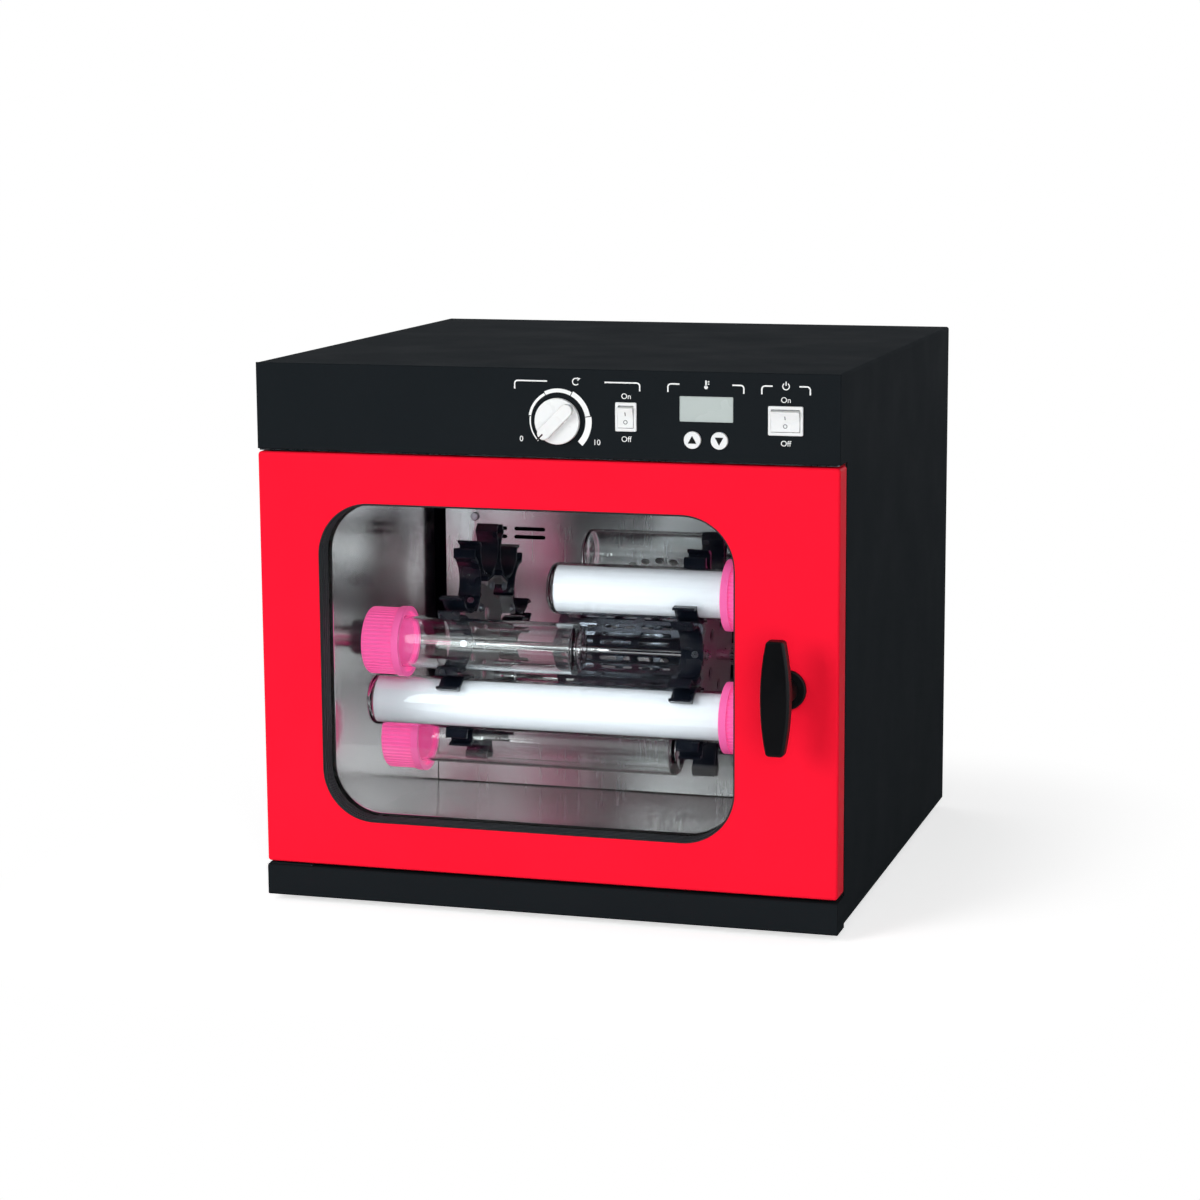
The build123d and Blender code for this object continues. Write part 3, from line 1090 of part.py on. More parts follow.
LINER_R = BOTTLE_R - BOTTLE_WALL - 0.1
with BuildPart() as paper_liners:
    for key in "AB":
        base, length = bottle_axis(key)
        with BuildSketch(base.offset(BOTTLE_BASE + 2)) as roll:
            Circle(LINER_R)
            Circle(LINER_R - 0.6, mode=Mode.SUBTRACT)
        extrude(roll.sketch, amount=length - CAP_LAP - BOTTLE_BASE)
finish(paper_liners, "paper_liners")
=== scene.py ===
"""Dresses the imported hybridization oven: finishes, printed scale, glassware, studio and camera."""
import json
from math import cos, pi, radians, sin

import bmesh
import bpy
from mathutils import Matrix, Vector
from mathutils.bvhtree import BVHTree

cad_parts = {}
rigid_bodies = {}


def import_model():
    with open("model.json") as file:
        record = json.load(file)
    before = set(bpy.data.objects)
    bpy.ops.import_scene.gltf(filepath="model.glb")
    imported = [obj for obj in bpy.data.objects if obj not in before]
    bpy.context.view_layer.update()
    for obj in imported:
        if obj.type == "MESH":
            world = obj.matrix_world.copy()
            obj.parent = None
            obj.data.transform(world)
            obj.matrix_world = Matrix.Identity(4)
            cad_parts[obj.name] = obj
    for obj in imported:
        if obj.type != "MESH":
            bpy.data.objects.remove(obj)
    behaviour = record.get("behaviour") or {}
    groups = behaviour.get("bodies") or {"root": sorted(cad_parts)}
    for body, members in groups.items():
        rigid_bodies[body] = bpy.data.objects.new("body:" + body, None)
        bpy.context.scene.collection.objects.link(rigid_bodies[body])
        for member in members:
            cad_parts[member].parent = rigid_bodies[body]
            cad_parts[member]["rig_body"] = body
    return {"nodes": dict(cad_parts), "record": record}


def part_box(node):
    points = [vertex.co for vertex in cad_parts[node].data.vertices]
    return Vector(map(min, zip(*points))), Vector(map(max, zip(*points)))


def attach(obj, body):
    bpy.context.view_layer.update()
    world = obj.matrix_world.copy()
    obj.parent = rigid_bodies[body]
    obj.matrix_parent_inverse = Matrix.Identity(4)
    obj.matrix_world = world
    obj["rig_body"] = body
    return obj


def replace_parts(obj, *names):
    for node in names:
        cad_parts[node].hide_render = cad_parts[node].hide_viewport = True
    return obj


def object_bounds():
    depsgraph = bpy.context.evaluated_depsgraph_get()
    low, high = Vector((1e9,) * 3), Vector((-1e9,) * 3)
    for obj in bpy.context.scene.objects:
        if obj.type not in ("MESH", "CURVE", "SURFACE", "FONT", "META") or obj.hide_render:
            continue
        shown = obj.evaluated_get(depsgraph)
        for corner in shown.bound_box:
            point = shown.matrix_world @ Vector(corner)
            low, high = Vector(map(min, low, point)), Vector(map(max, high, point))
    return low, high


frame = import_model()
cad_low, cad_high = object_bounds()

MM = 0.001
NODES = frame["nodes"]
SLOTS = {row["node"]: row["material_slot"] for row in frame["record"]["subparts"]}
PLENUM_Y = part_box("fan_baffle")[0].y    # the baffle's front face
WELD, FINE_WELD = 1e-6, 1e-7            # points this close, in metres, become one; the finer one is for print


# ------------------------------------------------------------------ shader helpers
def linear(hex_colour):
    """An sRGB hex colour as linear RGBA."""
    parts = [int(hex_colour[i:i + 2], 16) / 255 for i in (1, 3, 5)]
    return (*(c / 12.92 if c <= 0.04045 else ((c + 0.055) / 1.055) ** 2.4 for c in parts), 1.0)


def add_node(tree, kind, inputs=None, **settings):
    """Adds a node: settings are its own options, inputs are constants or the sockets that feed it."""
    node = tree.nodes.new(kind)
    for name, value in settings.items():
        setattr(node, name, value)
    for name, value in (inputs or {}).items():
        if isinstance(value, bpy.types.NodeSocket):
            tree.links.new(value, node.inputs[name])
        else:
            node.inputs[name].default_value = value
    return node


def blank_material(name):
    """A named material with an empty tree, and its Object coordinates."""
    material = bpy.data.materials.new(name)
    material.use_nodes = True
    tree = material.node_tree
    tree.nodes.clear()
    return material, tree, add_node(tree, "ShaderNodeTexCoord").outputs["Object"]


# ------------------------------------------------------------------ finishes
NOISE_LOW, NOISE_HIGH = 0.3, 0.7          # the span that a noise pattern mostly fills
GLOSSIER, DULLER = 0.04, 0.05             # how far roughness drifts over one surface
COAT_CLOUD_MM, MOULD_CLOUD_MM = 55, 18    # size of the soft patches in that drift


def powder_coat(name, colour, light_colour, rough, level, grain_mm, depth_mm):
    """Polyester powder coat, sprayed and baked: a pebbled skin that spreads its highlights.

    The pebbles are drawn about twice as wide as real ones, which would be too fine to show.
    """
    material, tree, place = blank_material(name)
    pebble = add_node(
        tree, "ShaderNodeTexNoise", {"Vector": place, "Scale": 1 / (grain_mm * MM), "Detail": 3.0}
    )
    cloud = add_node(
        tree, "ShaderNodeTexNoise", {"Vector": place, "Scale": 1 / (COAT_CLOUD_MM * MM), "Detail": 3.0}
    )
    tone = add_node(
        tree, "ShaderNodeMix", {0: cloud.outputs["Fac"], 6: linear(colour), 7: linear(light_colour)},
        data_type="RGBA",
    )
    sheen = add_node(
        tree, "ShaderNodeMapRange",
        {
            "Value": cloud.outputs["Fac"], "From Min": NOISE_LOW, "From Max": NOISE_HIGH,
            "To Min": rough - GLOSSIER, "To Max": rough + DULLER,
        },
    )
    skin = add_node(
        tree, "ShaderNodeBump", {"Height": pebble.outputs["Fac"], "Strength": 0.4, "Distance": depth_mm * MM}
    )
    paint = add_node(
        tree, "ShaderNodeBsdfPrincipled",
        {
            "Base Color": tone.outputs[2], "Roughness": sheen.outputs["Result"],
            "Normal": skin.outputs["Normal"], "Specular IOR Level": level,
        },
    )
    add_node(tree, "ShaderNodeOutputMaterial", {"Surface": paint.outputs["BSDF"]})
    return material


def moulded(name, colour, rough, grain_mm, depth_mm, **extra):
    """One even colour with a fine mould grain and a softly varied gloss.

    The grain is drawn a few times wider than a real spark-eroded mould leaves it, so that it shows.
    """
    material, tree, place = blank_material(name)
    grain = add_node(
        tree, "ShaderNodeTexNoise", {"Vector": place, "Scale": 1 / (grain_mm * MM), "Detail": 2.0}
    )
    cloud = add_node(
        tree, "ShaderNodeTexNoise", {"Vector": place, "Scale": 1 / (MOULD_CLOUD_MM * MM), "Detail": 2.0}
    )
    gloss = add_node(
        tree, "ShaderNodeMapRange",
        {
            "Value": cloud.outputs["Fac"], "From Min": NOISE_LOW, "From Max": NOISE_HIGH,
            "To Min": rough - GLOSSIER, "To Max": rough + DULLER,
        },
    )
    skin = add_node(
        tree, "ShaderNodeBump", {"Height": grain.outputs["Fac"], "Strength": 0.3, "Distance": depth_mm * MM}
    )
    inputs = {
        "Base Color": linear(colour), "Roughness": gloss.outputs["Result"], "Normal": skin.outputs["Normal"],
    }
    inputs.update({key.replace("_", " "): value for key, value in extra.items()})
    plastic = add_node(tree, "ShaderNodeBsdfPrincipled", inputs)
    add_node(tree, "ShaderNodeOutputMaterial", {"Surface": plastic.outputs["BSDF"]})
    return material


METAL_CLOUD_MM = 40                       # size of the cloudy patches in a metal's polish
CLOUD_LOW, CLOUD_HIGH = 0.35, 0.65        # the span of noise that runs from smooth to dull


def worked_skin(tree, place, streak_mm, stretch, depth_mm):
    """The streaks that rolling, brushing or turning leaves, their relief, and clouds of polish."""
    along = add_node(tree, "ShaderNodeMapping", {"Vector": place, "Scale": stretch})
    streak = add_node(
        tree, "ShaderNodeTexNoise",
        {"Vector": along.outputs["Vector"], "Scale": 1 / (streak_mm * MM), "Detail": 2.0},
    )
    cloud = add_node(
        tree, "ShaderNodeTexNoise", {"Vector": place, "Scale": 1 / (METAL_CLOUD_MM * MM), "Detail": 3.0}
    )
    relief = add_node(
        tree, "ShaderNodeBump", {"Height": streak.outputs["Fac"], "Strength": 0.25, "Distance": depth_mm * MM}
    )
    return streak.outputs["Fac"], cloud.outputs["Fac"], relief.outputs["Normal"]


def metal(name, colour, smooth, dull, streak_mm, stretch, depth_mm):
    """Worked metal: streaks along one way over a cloudy change of polish.

    Real streaks are some hundredths of a millimetre wide. They are drawn coarser, so that they show.
    """
    material, tree, place = blank_material(name)
    streak, cloud, relief = worked_skin(tree, place, streak_mm, stretch, depth_mm)
    wear = add_node(tree, "ShaderNodeMix", {0: 0.5, 2: streak, 3: cloud}, data_type="FLOAT")
    polish = add_node(
        tree, "ShaderNodeMapRange",
        {
            "Value": wear.outputs[0], "From Min": CLOUD_LOW, "From Max": CLOUD_HIGH,
            "To Min": smooth, "To Max": dull,
        },
    )
    sheet = add_node(
        tree, "ShaderNodeBsdfPrincipled",
        {
            "Base Color": linear(colour), "Metallic": 1.0, "Roughness": polish.outputs["Result"],
            "Normal": relief,
        },
    )
    add_node(tree, "ShaderNodeOutputMaterial", {"Surface": sheet.outputs["BSDF"]})
    return material


UPRIGHT = (1, 1, 0.02)                    # draws streaks out along Z
HAZE_SHARE, HAZE_ROUGH = 0.1, 0.55        # the liner's share of scattered shine, and how wide it spreads
# painted shade: the near-black colour the liner takes behind the baffle, where the plenum lies in shade
PLENUM_PAINTED_SHADE = "#1A1C20"


def liner_sheet(name, colour, smooth, dull):
    """Rolled sheet, bright in the chamber, with painted shade behind the baffle: near black where the plenum
    lies in shade.
    """
    material, tree, place = blank_material(name)
    _, cloud, relief = worked_skin(tree, place, 0.6, UPRIGHT, 0.01)
    polish = add_node(
        tree, "ShaderNodeMapRange",
        {"Value": cloud, "From Min": CLOUD_LOW, "From Max": CLOUD_HIGH, "To Min": smooth, "To Max": dull},
    )
    # painted shade: from the baffle's front face back, the liner's colour turns to the near-black painted
    # shade of the plenum
    where = add_node(tree, "ShaderNodeSeparateXYZ", {"Vector": place})
    plenum = add_node(
        tree, "ShaderNodeMapRange",
        {"Value": where.outputs["Y"], "From Min": PLENUM_Y - 1 * MM, "From Max": PLENUM_Y},
    )
    tone = add_node(
        tree, "ShaderNodeMix", {0: plenum.outputs["Result"], 6: linear(colour), 7: linear(PLENUM_PAINTED_SHADE)},
        data_type="RGBA",
    )
    haze = add_node(
        tree, "ShaderNodeBsdfPrincipled",
        {"Base Color": tone.outputs[2], "Metallic": 1.0, "Roughness": HAZE_ROUGH, "Normal": relief},
    )
    mirror = add_node(
        tree, "ShaderNodeBsdfPrincipled",
        {
            "Base Color": tone.outputs[2], "Metallic": 1.0, "Roughness": polish.outputs["Result"],
            "Normal": relief,
        },
    )
    sheet = add_node(
        tree, "ShaderNodeMixShader", {0: HAZE_SHARE, 1: mirror.outputs["BSDF"], 2: haze.outputs["BSDF"]}
    )
    add_node(tree, "ShaderNodeOutputMaterial", {"Surface": sheet.outputs["Shader"]})
    return material


def lamp_through(tree, seen, tint):
    """Lets lamp light pass a clear piece to what is behind it, while the eye sees the piece's own shader."""
    clear = add_node(tree, "ShaderNodeBsdfTransparent", {"Color": linear(tint)})
    path = add_node(tree, "ShaderNodeLightPath")
    mix = add_node(
        tree, "ShaderNodeMixShader", {0: path.outputs["Is Shadow Ray"], 1: seen, 2: clear.outputs["BSDF"]}
    )
    add_node(tree, "ShaderNodeOutputMaterial", {"Surface": mix.outputs["Shader"]})


DRAW_LINE_MM, WIPE_MM = 6, 70             # width of a tube's draw lines, and of a pane's wiping marks
FACE_ON, GRAZE_POWER = 0.035, 5.0         # glass mirrors this share face on, and more towards grazing


def drawn_glass(name, tint):
    """Borosilicate tube, drawn and fire-closed: clear, with faint lengthwise draw lines."""
    material, tree, place = blank_material(name)
    along = add_node(tree, "ShaderNodeMapping", {"Vector": place, "Scale": (0.02, 1.0, 1.0)})
    lines = add_node(
        tree, "ShaderNodeTexNoise",
        {"Vector": along.outputs["Vector"], "Scale": 1 / (DRAW_LINE_MM * MM), "Detail": 1.0},
    )
    skin = add_node(
        tree, "ShaderNodeBump", {"Height": lines.outputs["Fac"], "Strength": 0.1, "Distance": 0.01 * MM}
    )
    glass = add_node(
        tree, "ShaderNodeBsdfGlass",
        {"Color": linear(tint), "Roughness": 0.0, "IOR": 1.47, "Normal": skin.outputs["Normal"]},
    )
    lamp_through(tree, glass.outputs["BSDF"], tint)
    return material


def float_pane(name, tint):
    """Toughened float glass in a flat pane: it shows what is behind it straight and mirrors a little."""
    material, tree, place = blank_material(name)
    wipe = add_node(tree, "ShaderNodeTexNoise", {"Vector": place, "Scale": 1 / (WIPE_MM * MM), "Detail": 4.0})
    film = add_node(
        tree, "ShaderNodeMapRange",
        {"Value": wipe.outputs["Fac"], "From Min": 0.4, "From Max": 0.7, "To Min": 0.0, "To Max": 0.03},
    )
    clear = add_node(tree, "ShaderNodeBsdfTransparent", {"Color": linear(tint)})
    mirror = add_node(tree, "ShaderNodeBsdfGlossy", {"Roughness": film.outputs["Result"]})
    facing = add_node(tree, "ShaderNodeLayerWeight", {"Blend": 0.5})
    grazing = add_node(
        tree, "ShaderNodeMath", {0: facing.outputs["Facing"], 1: GRAZE_POWER}, operation="POWER"
    )
    edge = add_node(
        tree, "ShaderNodeMapRange", {"Value": grazing.outputs["Value"], "To Min": FACE_ON, "To Max": 1.0}
    )
    pane = add_node(
        tree, "ShaderNodeMixShader",
        {0: edge.outputs["Result"], 1: clear.outputs["BSDF"], 2: mirror.outputs["BSDF"]},
    )
    lamp_through(tree, pane.outputs["Shader"], tint)
    return material


# case, panel, bar, rear and hinge leaves: a deep even black with a soft pebbled sheen at low angles
BLACK_COAT = powder_coat("powder coat, black fine texture", "#191D20", "#1C2023", 0.60, 0.006, 0.7, 0.06)
# door: a saturated even red with only a broad soft highlight
RED_COAT = powder_coat("powder coat, red smooth", "#F4152F", "#F51833", 0.42, 0.04, 1.4, 0.02)
# chamber liner: cloudy grey mirror that drags shapes into soft upright smears, with painted shade behind the
# baffle
BRIGHT_SHEET = liner_sheet("stainless steel, bright rolled sheet", "#F6F3F1", 0.11, 0.18)
# baffle: a cool grey sheet that blurs what stands before it into faint patches, so the slots stay plain
DULLED_SHEET = metal("stainless steel, sheet dulled by heat", "#D3D5D8", 0.24, 0.28, 2.0, (1, 1, 0.05), 0.002)
# drum: nearly a mirror, so its slots and folds read as dark lines on clear reflections
MIRROR_SHEET = metal("stainless steel, bright annealed sheet", "#9CA4B1", 0.08, 0.13, 0.6, UPRIGHT, 0.006)
# fan wheel: a pale matt grey with faint lines along the sheet
SATIN_SHEET = metal("stainless steel, satin sheet", "#DADCDE", 0.30, 0.42, 0.3, (0.02, 1, 1), 0.012)
# carousel end plates: flat grey without reflections, a little sparkling
BLASTED_PLATE = metal("stainless steel, bead-blasted plate", "#CDD1D2", 0.50, 0.62, 0.35, (1, 1, 1), 0.02)
# rods, shaft, hub, pins, probe and latch spindle: long black and white lines along each bar
POLISHED_BAR = metal("stainless steel, polished bar", "#DADBDD", 0.06, 0.14, 0.25, (0.03, 1, 1), 0.004)
# screws, base pan, motor bracket and head edge: cool grey with a bluish bloom
ZINC = metal("steel, zinc plated and blue passivated", "#BCC2CA", 0.22, 0.38, 0.5, (1, 1, 1), 0.01)
# pulleys and motor cases: fine rings from the lathe, pale and silky
ALUMINIUM = metal("aluminium, turned", "#C9CACC", 0.22, 0.36, 0.2, (1, 0.05, 1), 0.01)
# bottle clips: blue-black and glossy, with light catching the rims
ACETAL = moulded("acetal, moulded blue-black", "#10151F", 0.24, 0.5, 0.02)
# latch grip and boss, inlet and hinge bushes: a quiet black with a dull shine
NYLON = moulded("nylon, moulded black", "#050608", 0.42, 0.45, 0.03, Specular_IOR_Level=0.2)
# hub bearing and shaft cradle: mid grey, matt
GREY_NYLON = moulded("nylon, moulded grey", "#54595F", 0.40, 0.45, 0.03)
# knob, rockers, switch frames and keys: clean white that lets a little light in at the edges
ABS_WHITE = moulded("ABS, moulded white", "#EBECEC", 0.28, 0.35, 0.01, Subsurface_Weight=0.04)
# bottle caps: a bright pink with a painted glow, an emission that keeps them luminous in the weakly lit
# chamber and in the shade between their ribs
PINK_CAP = moulded(
    "polypropylene, moulded pink with painted glow", "#FF78C0", 0.30, 0.4, 0.015,
    # painted light: this emission makes the caps glow as if lit, though they are no lamp
    Emission_Color=linear("#FF559E"), Emission_Strength=0.35,
)
# gasket, door seal and feet: soft dark grey with no clear reflection
EPDM = moulded("EPDM rubber, extruded", "#1E2225", 0.52, 0.7, 0.05)
# belt: dry black
NEOPRENE = moulded("neoprene, belt", "#161616", 0.60, 0.8, 0.06)
# rolls in the bottles: cool white, quite without shine
MEMBRANE = moulded("nylon membrane, rolled white", "#DEE1E8", 0.80, 0.5, 0.03)
# insulation blocks: straw-coloured, rough and light-swallowing
WOOL_BOARD = moulded("mineral wool board", "#B9B29A", 0.95, 1.6, 0.8)
# controller and supply boards: dark green under a lacquer shine
SOLDER_MASK = moulded("circuit board, green solder mask", "#123F22", 0.34, 3.0, 0.02)
# heater rod: brown-black and burnt dull
HEATER_SHEATH = moulded("heater sheath, oxidised", "#2B2826", 0.52, 0.9, 0.03)
# display: pale grey-green pane, unlit
LCD = moulded("liquid crystal pane, matt", "#B6C0BE", 0.26, 0.25, 0.004)
# bottles: clear, with bright and dark lines where the wall turns away
BOTTLE_GLASS = drawn_glass("borosilicate glass, drawn tube", "#FEFFFF")
# door pane: all but unseen, only a thin film and a faint mirror
PANE = float_pane("float glass, toughened", "#FDFEFE")
# panel printing: crisp off-white
WHITE_INK = moulded("screen-print ink, white", "#EDEFEF", 0.55, 0.3, 0.01)
# marks on keys and knob: flat black
BLACK_INK = moulded("pad-print ink, black", "#0E0F10", 0.5, 0.3, 0.01)
# marks on the rockers: grey, hardly lighter than the key
GREY_INK = moulded("pad-print ink, grey", "#6E7275", 0.5, 0.3, 0.01)

FINISHES = {
    "black_coat": BLACK_COAT, "red_coat": RED_COAT, "stainless": BRIGHT_SHEET, "polished_steel": POLISHED_BAR,
    "zinc_steel": ZINC, "aluminium": ALUMINIUM, "black_plastic": NYLON, "white_plastic": ABS_WHITE,
    "grey_plastic": GREY_NYLON, "pink_plastic": PINK_CAP, "rubber": EPDM, "belt_rubber": NEOPRENE,
    "clear_glass": BOTTLE_GLASS, "display_glass": LCD, "paper": MEMBRANE, "mineral_wool": WOOL_BOARD,
    "circuit_board": SOLDER_MASK, "dark_coat": HEATER_SHEATH,
}
OWN_FINISH = {
    "clips_loaded": ACETAL, "clips_empty": ACETAL, "door_glass": PANE, "drum": MIRROR_SHEET,
    "fan_baffle": DULLED_SHEET, "end_plates": BLASTED_PLATE, "fan_wheel": SATIN_SHEET,
}


def finish_of(node):
    """The finish that a CAD node is given."""
    return OWN_FINISH.get(node, FINISHES[SLOTS[node]])


# ------------------------------------------------------------------ pieces
SHARP, EASE_FROM = 32, 38                 # in degrees: edges that shade sharp, and edges that are eased


def piece_from(name, bm, material, body, sharp=SHARP):
    """Turns a bmesh into a piece that rides on a body, smooth but for its sharp edges."""
    mesh = bpy.data.meshes.new(name)
    bm.to_mesh(mesh)
    bm.free()
    mesh.polygons.foreach_set("use_smooth", [True] * len(mesh.polygons))
    mesh.set_sharp_from_angle(angle=radians(sharp))
    mesh.materials.append(material)
    piece = bpy.data.objects.new(name, mesh)
    bpy.context.scene.collection.objects.link(piece)
    even = piece.modifiers.new("even shading", "WEIGHTED_NORMAL")
    even.keep_sharp = True
    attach(piece, body)
    return piece


def merged(node):
    """A CAD node's triangles as a joined bmesh."""
    bm = bmesh.new()
    bm.from_mesh(NODES[node].data)
    bmesh.ops.remove_doubles(bm, verts=bm.verts, dist=WELD)
    return bm


def dress(node, eased_mm):
    """Stands a smooth copy with eased edges in for a CAD node."""
    piece = piece_from(f"{node}_dressed", merged(node), finish_of(node), NODES[node]["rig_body"])
    if eased_mm:
        ease = piece.modifiers.new("eased edges", "BEVEL")
        ease.width = eased_mm * MM
        ease.segments = 2
        ease.limit_method = "ANGLE"
        ease.angle_limit = radians(EASE_FROM)
        ease.harden_normals = True
        piece.modifiers.move(1, 0)
    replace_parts(piece, node)


def solids_of(node):
    """The box of each separate solid in a CAD node."""
    bm = merged(node)
    seen, boxes = set(), []
    for start in bm.verts:
        if start in seen:
            continue
        group, queue = [], [start]
        seen.add(start)
        while queue:
            vert = queue.pop()
            group.append(vert.co)
            for edge in vert.link_edges:
                other = edge.other_vert(vert)
                if other not in seen:
                    seen.add(other)
                    queue.append(other)
        low = Vector([min(co[k] for co in group) for k in range(3)])
        high = Vector([max(co[k] for co in group) for k in range(3)])
        boxes.append((low, high))
    bm.free()
    return boxes


EASED_MM = {
    "outer_cover": 0, "control_panel": 0, "base_front_bar": 0, "door_shell": 0, "window_gasket": 0.2,
    "latch_handle": 0, "latch_boss": 0, "speed_knob": 0.35, "switch_bodies": 0.15, "rotor_rocker": 0.2,
    "power_rocker": 0.2, "up_button": 0, "down_button": 0, "clips_loaded": 0.4, "clips_empty": 0.4,
    "drum": 0.12, "end_plates": 0.25, "tie_rods": 0.3, "carousel_shaft": 0.2, "drive_hub": 0.2,
    "hub_bearing": 0.2, "shaft_cradle": 0.3, "bottle_caps": 0.25, "case_screws": 0, "clip_screws": 0.2,
    "door_screws": 0, "feet": 0, "heater_element": 0, "fan_wheel": 0, "fan_motor": 0, "drive_motor": 0,
    "driven_pulley": 0.2, "motor_pulley": 0.2, "drive_belt": 0, "hinge_pins": 0.2, "hinge_bushes": 0,
    "latch_spindle": 0.3, "latch_cam": 0.3, "temperature_probe": 0, "speed_potentiometer": 0.2,
    "door_seal": 0, "power_inlet": 0.25, "fan_baffle": 0.12, "hinge_brackets": 0.2, "rear_panel": 0,
}
for node_name, node in NODES.items():
    node.data.materials.clear()
    node.data.materials.append(finish_of(node_name))
for node_name, eased in EASED_MM.items():
    dress(node_name, eased)


# ------------------------------------------------------------------ glassware
BOTTLE_STEPS, ROLL_STEPS = 72, 64


def turned(bm, outline, foot, way, steps):
    """Spins an outline of (along, radius) points in mm about an axis from foot, which runs way along X."""
    verts = [bm.verts.new((foot.x + way * a * MM, foot.y, foot.z + r * MM)) for a, r in outline]
    edges = [bm.edges.new(pair) for pair in zip(verts, verts[1:])]
    bmesh.ops.spin(
        bm, geom=verts + edges, cent=foot, axis=(1, 0, 0), dvec=(0, 0, 0), angle=2 * pi, steps=steps,
        use_merge=True, use_duplicate=False,
    )


def same_axis(box_a, box_b):
    """True if two boxes share an axis along X."""
    gap = (box_a[0] + box_a[1] - box_b[0] - box_b[1]) / 2
    return abs(gap.y) < MM and abs(gap.z) < MM


def middle_of(node):
    """The middle of a CAD node's box."""
    low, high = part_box(node)
    return (low + high) / 2


# roller bottles: domed foot, straight tube and rounded mouth, outside first and then back along the bore
cap_boxes = solids_of("bottle_caps")
bottle_bm = bmesh.new()
BOTTLE_R, WALL = 19.0, 1.8
BOTTLE_SHARP = 60
for low, high in solids_of("bottles"):
    cap = next(box for box in cap_boxes if same_axis((low, high), box))
    way = 1 if cap[1].x > high.x else -1
    foot = Vector((low.x if way > 0 else high.x, (low.y + high.y) / 2, (low.z + high.z) / 2))
    length = (high.x - low.x) / MM
    bore = BOTTLE_R - WALL
    outline = [
        (1.5, 0), (1.3, 6), (0.5, 11), (0, 13.2), (0.3, 15.4), (1.4, 17.4), (3.0, 18.6), (5.0, BOTTLE_R),
        (length - 0.7, BOTTLE_R), (length - 0.2, BOTTLE_R - 0.3), (length, BOTTLE_R - 0.9),
        (length - 0.2, bore + 0.3), (length - 0.7, bore), (6.0, bore), (5.0, bore - 0.4), (4.4, bore - 1.4),
        (4.2, bore - 3.0), (4.1, 7), (4.0, 0),
    ]
    turned(bottle_bm, outline, foot, way, BOTTLE_STEPS)
bmesh.ops.remove_doubles(bottle_bm, verts=bottle_bm.verts, dist=WELD)
bmesh.ops.recalc_face_normals(bottle_bm, faces=bottle_bm.faces)
bottles = piece_from("bottles_drawn", bottle_bm, BOTTLE_GLASS, "carousel", sharp=BOTTLE_SHARP)
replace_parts(bottles, "bottles")

# rolled membranes: thin tubes with a rounded front edge, just clear of the glass
roll_bm = bmesh.new()
ROLL_T, ROLL_START, ROLL_CLEAR = 0.5, 1.0, 0.15
for low, high in solids_of("paper_liners"):
    foot = Vector((low.x, (low.y + high.y) / 2, (low.z + high.z) / 2))
    length = (high.x - low.x) / MM
    radius = (high.z - low.z) / 2 / MM - ROLL_CLEAR
    inner = radius - ROLL_T
    outline = [
        (ROLL_START, inner), (ROLL_START - 0.2, radius - ROLL_T / 2), (ROLL_START, radius), (length, radius),
        (length, inner), (ROLL_START, inner),
    ]
    turned(roll_bm, outline, foot, 1, ROLL_STEPS)
bmesh.ops.remove_doubles(roll_bm, verts=roll_bm.verts, dist=WELD)
bmesh.ops.recalc_face_normals(roll_bm, faces=roll_bm.faces)
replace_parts(piece_from("membrane_rolls", roll_bm, MEMBRANE, "carousel"), "paper_liners")

# socket screws with washers on the left end plate, one for each clip
axle = middle_of("carousel_shaft")
PLATE_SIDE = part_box("end_plates")[0].x + 16 * MM    # the left plate's face towards the drum
SCREW_CIRCLE, STATIONS, FIRST_STATION = 46.0 * MM, 10, 10
SCREW_DISCS = ((3.4, 0.0, 0.6), (2.6, 0.6, 2.2), (1.3, 2.2, 2.3))    # washer, head, socket: radius, from, to
TO_X = Matrix.Rotation(pi / 2, 4, "Y")
plate_screws = bmesh.new()
for k in range(STATIONS):
    turn = radians(FIRST_STATION + 360 / STATIONS * k)
    spot = Vector((PLATE_SIDE, axle.y - SCREW_CIRCLE * cos(turn), axle.z + SCREW_CIRCLE * sin(turn)))
    for radius, low, high in SCREW_DISCS:
        at = spot + Vector(((low + high) / 2 * MM, 0, 0))
        bmesh.ops.create_cone(
            plate_screws, cap_ends=True, segments=24, radius1=radius * MM, radius2=radius * MM,
            depth=(high - low) * MM, matrix=Matrix.Translation(at) @ TO_X,
        )
piece_from("plate_screws", plate_screws, ZINC, "carousel")

# bright folded edge that closes the control head above the door
head_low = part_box("control_panel")[0]
TRIM_SHORT, TRIM_BACK, TRIM_DEPTH, TRIM_T = 3 * MM, 3.1 * MM, 5 * MM, 0.7 * MM
trim = bmesh.new()
bmesh.ops.create_cube(trim, size=1.0)
bmesh.ops.scale(trim, vec=(cad_high.x - cad_low.x - TRIM_SHORT, TRIM_DEPTH, TRIM_T), verts=trim.verts)
bmesh.ops.translate(trim, vec=(0, head_low.y + TRIM_BACK, head_low.z - TRIM_T / 2), verts=trim.verts)
piece_from("head_trim", trim, ZINC, "cabinet")

# ------------------------------------------------------------------ printed marks
SURFACES = {}
INK = 0.12 * MM


def lay_on(node, x, z):
    """The matrix that lays a flat sketch in XY on a CAD node's front, its middle at (x, z)."""
    if node not in SURFACES:
        bm = merged(node)
        SURFACES[node] = BVHTree.FromBMesh(bm)
        bm.free()
    point, normal, _, _ = SURFACES[node].ray_cast(Vector((x, -1, z)), Vector((0, 1, 0)))
    across = Vector((1, 0, 0))
    up = normal.cross(across)
    return Matrix.Translation(point) @ Matrix((across, up, normal)).transposed().to_4x4()


